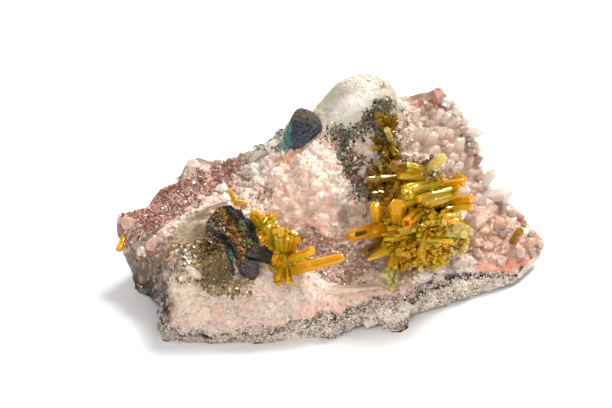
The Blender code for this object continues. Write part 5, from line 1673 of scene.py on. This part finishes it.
def build_grit(settings):
    """Loose-looking grains bedded in the face: ores, malachite, rust and broken quartz."""
    chance = np.random.default_rng(settings.seed + 5)
    seats, sizes, tints = [], [], []
    for path, width, spacing, size, shares in GRIT.values():
        low, high = np.min(path, axis=0) - width, np.max(path, axis=0) + width
        places = jittered_grid(low, high, spacing, chance)
        held = band_mask(places, path, width, fray_at(places, 1.0, 45))
        places = places[chance.uniform(0, 1, len(places)) < held]
        count = len(places)
        seats.append(skin(places) + chance.uniform(-0.02, 0.12, (count, 1)) * BLOCK.normals(places))
        sizes.append(chance.uniform(*size, count))
        tints.append(varied(shares, count, chance, 0.12))
    finish = crumb_finish("grit", 0.35, 0.03)
    add_grains("face_grit", np.vstack(seats), np.concatenate(sizes), np.vstack(tints), chance, finish)


def bundle(base, tip, width, chance):
    """Thin crystals side by side in place of one stout one: each is moved off the shared axis,
    turned a little, and ends short of the tip or just past it."""
    base, tip = np.array(base, float), np.array(tip, float)
    count = round(BUNDLE_DENSITY * width)
    axis = unit(tip - base)
    away = chance.normal(0, 1, (count, 3))
    away = unit(away - (away @ axis)[:, None] * axis)
    away = away * np.sqrt(chance.uniform(0.02, 1, (count, 1))) * width * 0.38
    start = base + away * 0.8
    short = chance.uniform(-0.35, 0.04, (count, 1)) * np.linalg.norm(tip - base)
    stop = tip + away + axis * short + chance.normal(0, 0.07, (count, 3)) * width
    return start, stop, chance.uniform(0.28, 0.62, count) * width


def crystal_group(crystals, settings, chance):
    """The named crystals of a group, each with its own end and tone, one side turned to glint."""
    shapes = []
    for name, (base, tip, width, end, shade) in crystals.items():
        if name in WHOLE:
            start, stop, across = np.array([base]), np.array([tip]), np.array([width])
        else:
            start, stop, across = bundle(base, tip, width, chance)
        count = len(start)
        # A crystal with a window of painted shade turns a side straight out from the broad face
        if name in SHADE_WINDOWS:
            roll = facing_roll(start, stop, OUTWARD)
        else:
            roll = glint_roll(start, stop) + chance.uniform(-0.2, 0.2, count)
        points, faces, local, each = crystal_shapes(start, stop, across, roll, end, corner=CORNER_ROUNDING)
        local = local + np.repeat(chance.uniform(0, PATTERN_SPREAD, (count, 3)), each, axis=0)
        tint = np.array(getattr(settings, shade)) * chance.uniform(0.85, 1.04, (count, 1))
        shapes.append((points, faces, np.repeat(tint, each, axis=0), local))
    return shapes


def region_tones(places, settings, chance):
    """Tones of small crystals in the cluster: olive up and left, lemon at the right and the foot."""
    across, up = places.T
    draw = chance.uniform(0, 1, len(places))
    tint = np.where((draw < 0.45)[:, None], settings.gold, settings.amber)
    tint = np.where((draw > 0.85)[:, None], settings.orange, tint)
    olive = soft_step(0.5, 2.5, (9.0 - across) + 0.8 * (up - 10.5)) * (draw < 0.8)
    lemon = np.maximum(soft_step(13.2, 14.6, across), soft_step(1.6, 0.2, up)) * (draw < 0.7)
    tint = blend(blend(tint, np.array(settings.olive), olive), np.array(settings.lemon), lemon)
    return tint * chance.uniform(0.65, 1.12, (len(places), 1))


def fan_crystals(fan, settings, chance):
    """Crystals that fan out of a heart: each ends on one oval shell and starts within it, along
    the line from the heart, turned a little at random."""
    count, reach, width, length, scatter, heart, span, shades = fan
    ray = unit(chance.normal(0, 1, (count * 3, 3)) + (0, 0, 0.35))
    ray = ray[ray[:, 2] > -0.25][:count]
    count, span = len(ray), np.array(span)
    tip = np.array(heart) + ray * span * chance.uniform(*reach, (count, 1))
    axis = unit(ray * span + chance.normal(0, scatter, (count, 3)) * span.mean())
    base = tip - axis * chance.uniform(*length, (count, 1))
    if shades is None:
        tint = region_tones(tip[:, :2], settings, chance)
    else:
        palette = np.array([getattr(settings, name) for name in shades])
        draw = chance.choice(len(shades), count, p=np.array(list(shades.values())) / sum(shades.values()))
        tint = palette[draw] * chance.uniform(0.85, 1.08, (count, 1))
    across = chance.uniform(*width, count)
    shapes = []
    for order, end in enumerate(("bevel", "flat")):
        part = slice(order, None, 2)
        start, stop = in_world(base[part]), in_world(tip[part])
        roll = glint_roll(start, stop) + chance.uniform(-0.5, 0.5, len(start))
        points, faces, local, each = crystal_shapes(start, stop, across[part], roll, end, depth=0.88)
        local = local + np.repeat(chance.uniform(0, PATTERN_SPREAD, (len(start), 3)), each, axis=0)
        shapes.append((points, faces, np.repeat(tint[part], each, axis=0), local))
    return shapes


def build_cores():
    """Massive mimetite from which each group grows: the solid's dome, broken into blocks."""
    directions, faces = even_ball(60, 120)
    for group, (middle, reach, thickness, shade, raised) in CORES.items():
        points, _ = lump_points(middle, reach, thickness, directions)
        upper = np.clip(directions[:, 2] * 2, 0, 1)
        rise = 0.8 * facets(points, 1.3, 171) + 0.2 * cloud(points, 1.2, 3, 173) + raised * directions[:, 2]
        points = points + (upper * rise)[:, None] * OUTWARD
        tint = tone(shade) * (1 + 0.3 * cloud(points, 0.6, 2, 177))[:, None]
        name = group + "_core"
        add_piece(name, points, faces, tint, core_finish(name), ["mimetite_" + group])


def build_shade_windows():
    """Painted shade for the dark windows of the clearest crystals: dark prisms sunk in the side that
    faces out, so that a rim of clear crystal frames them."""
    shapes = []
    for name, (start, end, share) in SHADE_WINDOWS.items():
        base, tip, width, _, _ = CLUSTER[name]
        base, tip = np.array(base), np.array(tip)
        axis = unit(tip - base)
        outward = unit(OUTWARD - (OUTWARD @ axis) * axis)
        outward = outward * (width * SIDE_REACH * (1 - share) + SHADE_WINDOW_RAISED)
        low, high = base + (tip - base) * start + outward, base + (tip - base) * end + outward
        roll = facing_roll([low], [high], OUTWARD)
        points, faces, local, _ = crystal_shapes([low], [high], [width * share], roll, "flat")
        shade = tone("dark_window") * (1 + 0.8 * smooth_noise(local * (0.4, 0.4, 3.5), 33))[:, None]
        shapes.append((points, faces, shade, local))
    points, faces, tint, _ = join_shapes(shapes)
    add_piece("cluster_hollows", points, faces, tint, shade_window_finish(), ["mimetite_cluster"])


def build_cluster_grit():
    """Grains of ore and quartz caught on the upper side of the cluster."""
    chance = np.random.default_rng(31)
    seats, tints = [], []
    for middle, spread, count, shares in CLUSTER_GRIT:
        seats.append(in_world(middle + chance.normal(0, 1, (count, 3)) * spread))
        tints.append(varied(shares, count, chance, 0.12))
    seats, tint = np.vstack(seats), np.vstack(tints)
    sizes = chance.uniform(0.2, 0.6, len(seats))
    finish = crumb_finish("cluster_grit", 0.35, 0.03)
    add_grains("cluster_grit", seats, sizes, tint, chance, finish, ["mimetite_cluster"])


def build_mimetite(settings):
    """The amber groups and single crystals."""
    finish = mimetite_finish(settings)
    chance = np.random.default_rng(settings.seed)
    across = {
        name: (in_world([base])[0], in_world([tip])[0], *rest)
        for name, (base, tip, *rest) in ACROSS_CLUSTER.items()
    }
    build_cores()
    groups = {"mimetite_cluster": {**CLUSTER, **across}, "mimetite_spray": SPRAY, "mimetite_crest": CREST}
    grown = {node: crystal_group(group, settings, chance) for node, group in groups.items()}
    for node, shapes in grown.items():
        for fan in FANS[node]:
            shapes = shapes + fan_crystals(fan, settings, chance)
        points, faces, tint, local = join_shapes(shapes)
        add_piece(node + "_crystals", points, faces, tint, finish, [node], {"local": local})
    build_shade_windows()
    build_cluster_grit()
    for name, crystal in SINGLES.items():
        points, faces, tint, local = join_shapes(crystal_group({name: crystal}, settings, chance))
        add_piece(name + "_crystal", points, faces, tint, finish, [name], {"local": local})


def build_floor(settings):
    """A pale sweep: a flat floor that curls up far behind the specimen, as a quarter of a circle."""
    run = np.linspace(0, 1, 40)
    curl = np.maximum(run - FLOOR_CURL, 0) / FLOOR_BEND * math.pi / 2
    start = FLOOR_CURL * FLOOR_RUN - FLOOR_HALF
    depth = np.where(run < FLOOR_CURL, -FLOOR_HALF + FLOOR_RUN * run, start + CURL_REACH * np.sin(curl))
    rise = CURL_REACH * (1 - np.cos(curl))
    x, y = np.meshgrid(np.linspace(-FLOOR_HALF, FLOOR_HALF, 9), depth, indexing="ij")
    z = np.broadcast_to(rise, x.shape) - FLOOR_DROP
    points = np.stack([x, y, z], axis=2).reshape(-1, 3)
    grid = np.arange(len(points)).reshape(x.shape)
    faces = np.stack([grid[:-1, :-1], grid[1:, :-1], grid[1:, 1:], grid[:-1, 1:]], axis=-1).reshape(-1, 4)
    mesh = bpy.data.meshes.new("floor")
    mesh.from_pydata((points * MM).tolist(), [], faces.tolist())
    mesh.shade_smooth()
    finish = Finish("floor", Roughness=0.9, Base_Color=(*settings.floor, 1), Specular_IOR_Level=0.2)
    mesh.materials.append(finish.material)
    floor = bpy.data.objects.new("floor", mesh)
    bpy.context.scene.collection.objects.link(floor)


def add_light(name, place, size, power, colour):
    """A square soft light that faces the specimen."""
    lamp = bpy.data.lights.new(name, "AREA")
    lamp.size = size
    lamp.energy = power
    lamp.color = colour
    light = bpy.data.objects.new(name, lamp)
    light.location = place
    light.rotation_mode = "QUATERNION"
    light.rotation_quaternion = light.location.to_track_quat("Z", "Y")
    bpy.context.scene.collection.objects.link(light)


def build_stage(settings):
    """The floor, three soft lights, daylight all round and the camera."""
    build_floor(settings)
    for name in ("key", "fill", "spark"):
        place, size, power = (getattr(settings, f"{name}_{value}") for value in ("place", "size", "power"))
        add_light(name, place, size, power, settings.light_colour)
    world = bpy.data.worlds.new("daylight")
    world.use_nodes = True
    background = world.node_tree.nodes["Background"].inputs
    background["Color"].default_value = (*settings.sky, 1)
    background["Strength"].default_value = settings.sky_strength
    bpy.context.scene.world = world
    bpy.context.scene.view_settings.view_transform = "Standard"
    camera = bpy.data.objects.new("camera", bpy.data.cameras.new("camera"))
    camera.data.lens = CAMERA_LENS
    camera.data.sensor_width = CAMERA_SENSOR
    camera.data.clip_start = 0.01
    camera.location = np.array(CAMERA_PLACE) * MM
    camera.rotation_euler = (CAMERA_PITCH, 0, 0)
    bpy.context.scene.collection.objects.link(camera)
    bpy.context.scene.camera = camera


def colour_property(name, description, default):
    """A colour that a user may change."""
    return FloatVectorProperty(name=name, description=description, default=tuple(default), size=3,
                               min=0, max=1, subtype="COLOR")


def place_property(name, default):
    """The place of a light."""
    return FloatVectorProperty(name=name, description="Where it hangs", default=default,
                               subtype="TRANSLATION", unit="LENGTH")


def number(name, description, default, **limits):
    """A number that a user may change."""
    return FloatProperty(name=name, description=description, default=default, **limits)


def whole_number(name, description, default, **limits):
    """A whole number that a user may change."""
    return IntProperty(name=name, description=description, default=default, **limits)


class RockSettings(bpy.types.PropertyGroup):
    columns: whole_number("Columns", "Points round the block", 640, min=60)
    front_rings: whole_number("Front rings", "Rings of the broad face", 112, min=10)
    back_rings: whole_number("Back rings", "Rings of the back", 38, min=6)
    crust_roughness: number("Crust roughness", "Its lumps in mm", 0.24)
    crust_grains: whole_number("Crust grains", "Grains thrown on the crust", 9000)
    gossan_grains: whole_number("Gossan grains", "Crumbs on the gossan", 5200)
    sugar_spacing: number("Sugar spacing", "Between its grains in mm", 0.46)
    red_spacing: number("Fine spacing", "Between tiny crystals in mm", 0.24)
    lean: number("Lean", "How far the quartz crystals lean", 0.3)
    seed: whole_number("Seed", "Chooses the scatter", 3)


class MimetiteSettings(bpy.types.PropertyGroup):
    amber: colour_property("Amber", "Main crystal colour", tone("amber"))
    orange: colour_property("Orange", "Deepest crystal colour", tone("orange"))
    gold: colour_property("Gold", "Bright crystal colour", tone("gold"))
    lemon: colour_property("Lemon", "Palest crystal colour", tone("lemon"))
    olive: colour_property("Olive", "Colour of the shaded upper crystals", tone("olive"))
    glow: colour_property("Glow", "What the crystal lets through", (1.0, 0.6, 0.06))
    sheen: colour_property("Sheen", "Tint of its reflections", (1.0, 0.82, 0.46))
    depth: number("Depth", "Absorption per metre", 120.0, min=0)
    clearness: number("Clearness", "Light let in", 0.5, subtype="FACTOR")
    roughness: number("Roughness", "Of the faces", 0.03, subtype="FACTOR")
    ior: number("IOR", "Refraction of the crystal", 1.65, min=1)
    steps: number("Steps", "How far facets are tipped", 0.42)
    seed: whole_number("Seed", "Chooses the scatter", 21)


class StageSettings(bpy.types.PropertyGroup):
    floor: colour_property("Floor", "Colour of the sweep", (0.86, 0.86, 0.87))
    sky: colour_property("Sky", "Colour of the light all round", (1.0, 1.0, 1.0))
    sky_strength: number("Sky strength", "Light all round", 0.5)
    light_colour: colour_property("Light colour", "Of all three lights", (1.0, 0.985, 0.96))
    key_place: place_property("Key place", (0.2, 0.26, 0.46))
    key_size: number("Key size", "Its side", 0.26, unit="LENGTH")
    key_power: number("Key power", "In watts", 5.2, unit="POWER")
    fill_place: place_property("Fill place", (0.1, -0.48, 0.12))
    fill_size: number("Fill size", "Its side", 0.3, unit="LENGTH")
    fill_power: number("Fill power", "In watts", 0.95, unit="POWER")
    spark_place: place_property("Spark place", (-0.12, -0.3, 0.42))
    spark_size: number("Spark size", "Its side", 0.04, unit="LENGTH")
    spark_power: number("Spark power", "In watts", 0.6, unit="POWER")


class SPECIMEN_OT_matrix(bpy.types.Operator):
    """Builds the quartz block, its crust, its sugary skin and the grains on it"""

    bl_idname = "specimen.matrix"
    bl_label = "Quartz block and crust"

    def execute(self, context):
        settings = context.scene.specimen_rock
        build_matrix(settings)
        build_sugar(settings)
        build_blocks()
        build_crust(settings)
        build_crust_grains(settings)
        return {"FINISHED"}


class SPECIMEN_OT_druse(bpy.types.Operator):
    """Grows the quartz druses on the right slope, the left shelf and the recess"""

    bl_idname = "specimen.druse"
    bl_label = "Quartz druses"

    def execute(self, context):
        settings = context.scene.specimen_rock
        build_right_druse(settings)
        build_quartz_points()
        build_tiny_druse("red", red_bed, settings.seed + 1, settings.red_spacing)
        build_tiny_druse("recess", recess_bed, settings.seed + 2, settings.red_spacing)
        return {"FINISHED"}


class SPECIMEN_OT_gossan(bpy.types.Operator):
    """Lays the gossan, the ore and the grit"""

    bl_idname = "specimen.gossan"
    bl_label = "Gossan, ore and grit"

    def execute(self, context):
        settings = context.scene.specimen_rock
        build_gossan(settings)
        build_ore()
        build_grit(settings)
        return {"FINISHED"}


class SPECIMEN_OT_mimetite(bpy.types.Operator):
    """Grows the amber crystals"""

    bl_idname = "specimen.mimetite"
    bl_label = "Mimetite crystals"

    def execute(self, context):
        build_mimetite(context.scene.specimen_mimetite)
        return {"FINISHED"}


class SPECIMEN_OT_stage(bpy.types.Operator):
    """Sets the floor, the lights and the camera"""

    bl_idname = "specimen.stage"
    bl_label = "Stage"

    def execute(self, context):
        build_stage(context.scene.specimen_stage)
        return {"FINISHED"}


OPERATORS = (
    SPECIMEN_OT_matrix, SPECIMEN_OT_druse, SPECIMEN_OT_gossan, SPECIMEN_OT_mimetite, SPECIMEN_OT_stage,
)


class SPECIMEN_PT_sidebar(bpy.types.Panel):
    """Lists the steps that build the specimen"""

    bl_idname = "SPECIMEN_PT_sidebar"
    bl_label = "Specimen"
    bl_space_type = "VIEW_3D"
    bl_region_type = "UI"
    bl_category = "Specimen"

    def draw(self, context):
        for step in OPERATORS:
            self.layout.operator(step.bl_idname)


CLASSES = (RockSettings, MimetiteSettings, StageSettings, *OPERATORS, SPECIMEN_PT_sidebar)


def register():
    for cls in CLASSES:
        bpy.utils.register_class(cls)
    bpy.types.Scene.specimen_rock = PointerProperty(type=RockSettings)
    bpy.types.Scene.specimen_mimetite = PointerProperty(type=MimetiteSettings)
    bpy.types.Scene.specimen_stage = PointerProperty(type=StageSettings)


def unregister():
    del bpy.types.Scene.specimen_stage
    del bpy.types.Scene.specimen_mimetite
    del bpy.types.Scene.specimen_rock
    for cls in reversed(CLASSES):
        bpy.utils.unregister_class(cls)


def main():
    """Registers the classes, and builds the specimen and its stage."""
    register()
    bpy.ops.specimen.matrix()
    bpy.ops.specimen.druse()
    bpy.ops.specimen.gossan()
    bpy.ops.specimen.mimetite()
    bpy.ops.specimen.stage()


if __name__ == "__main__":
    main()
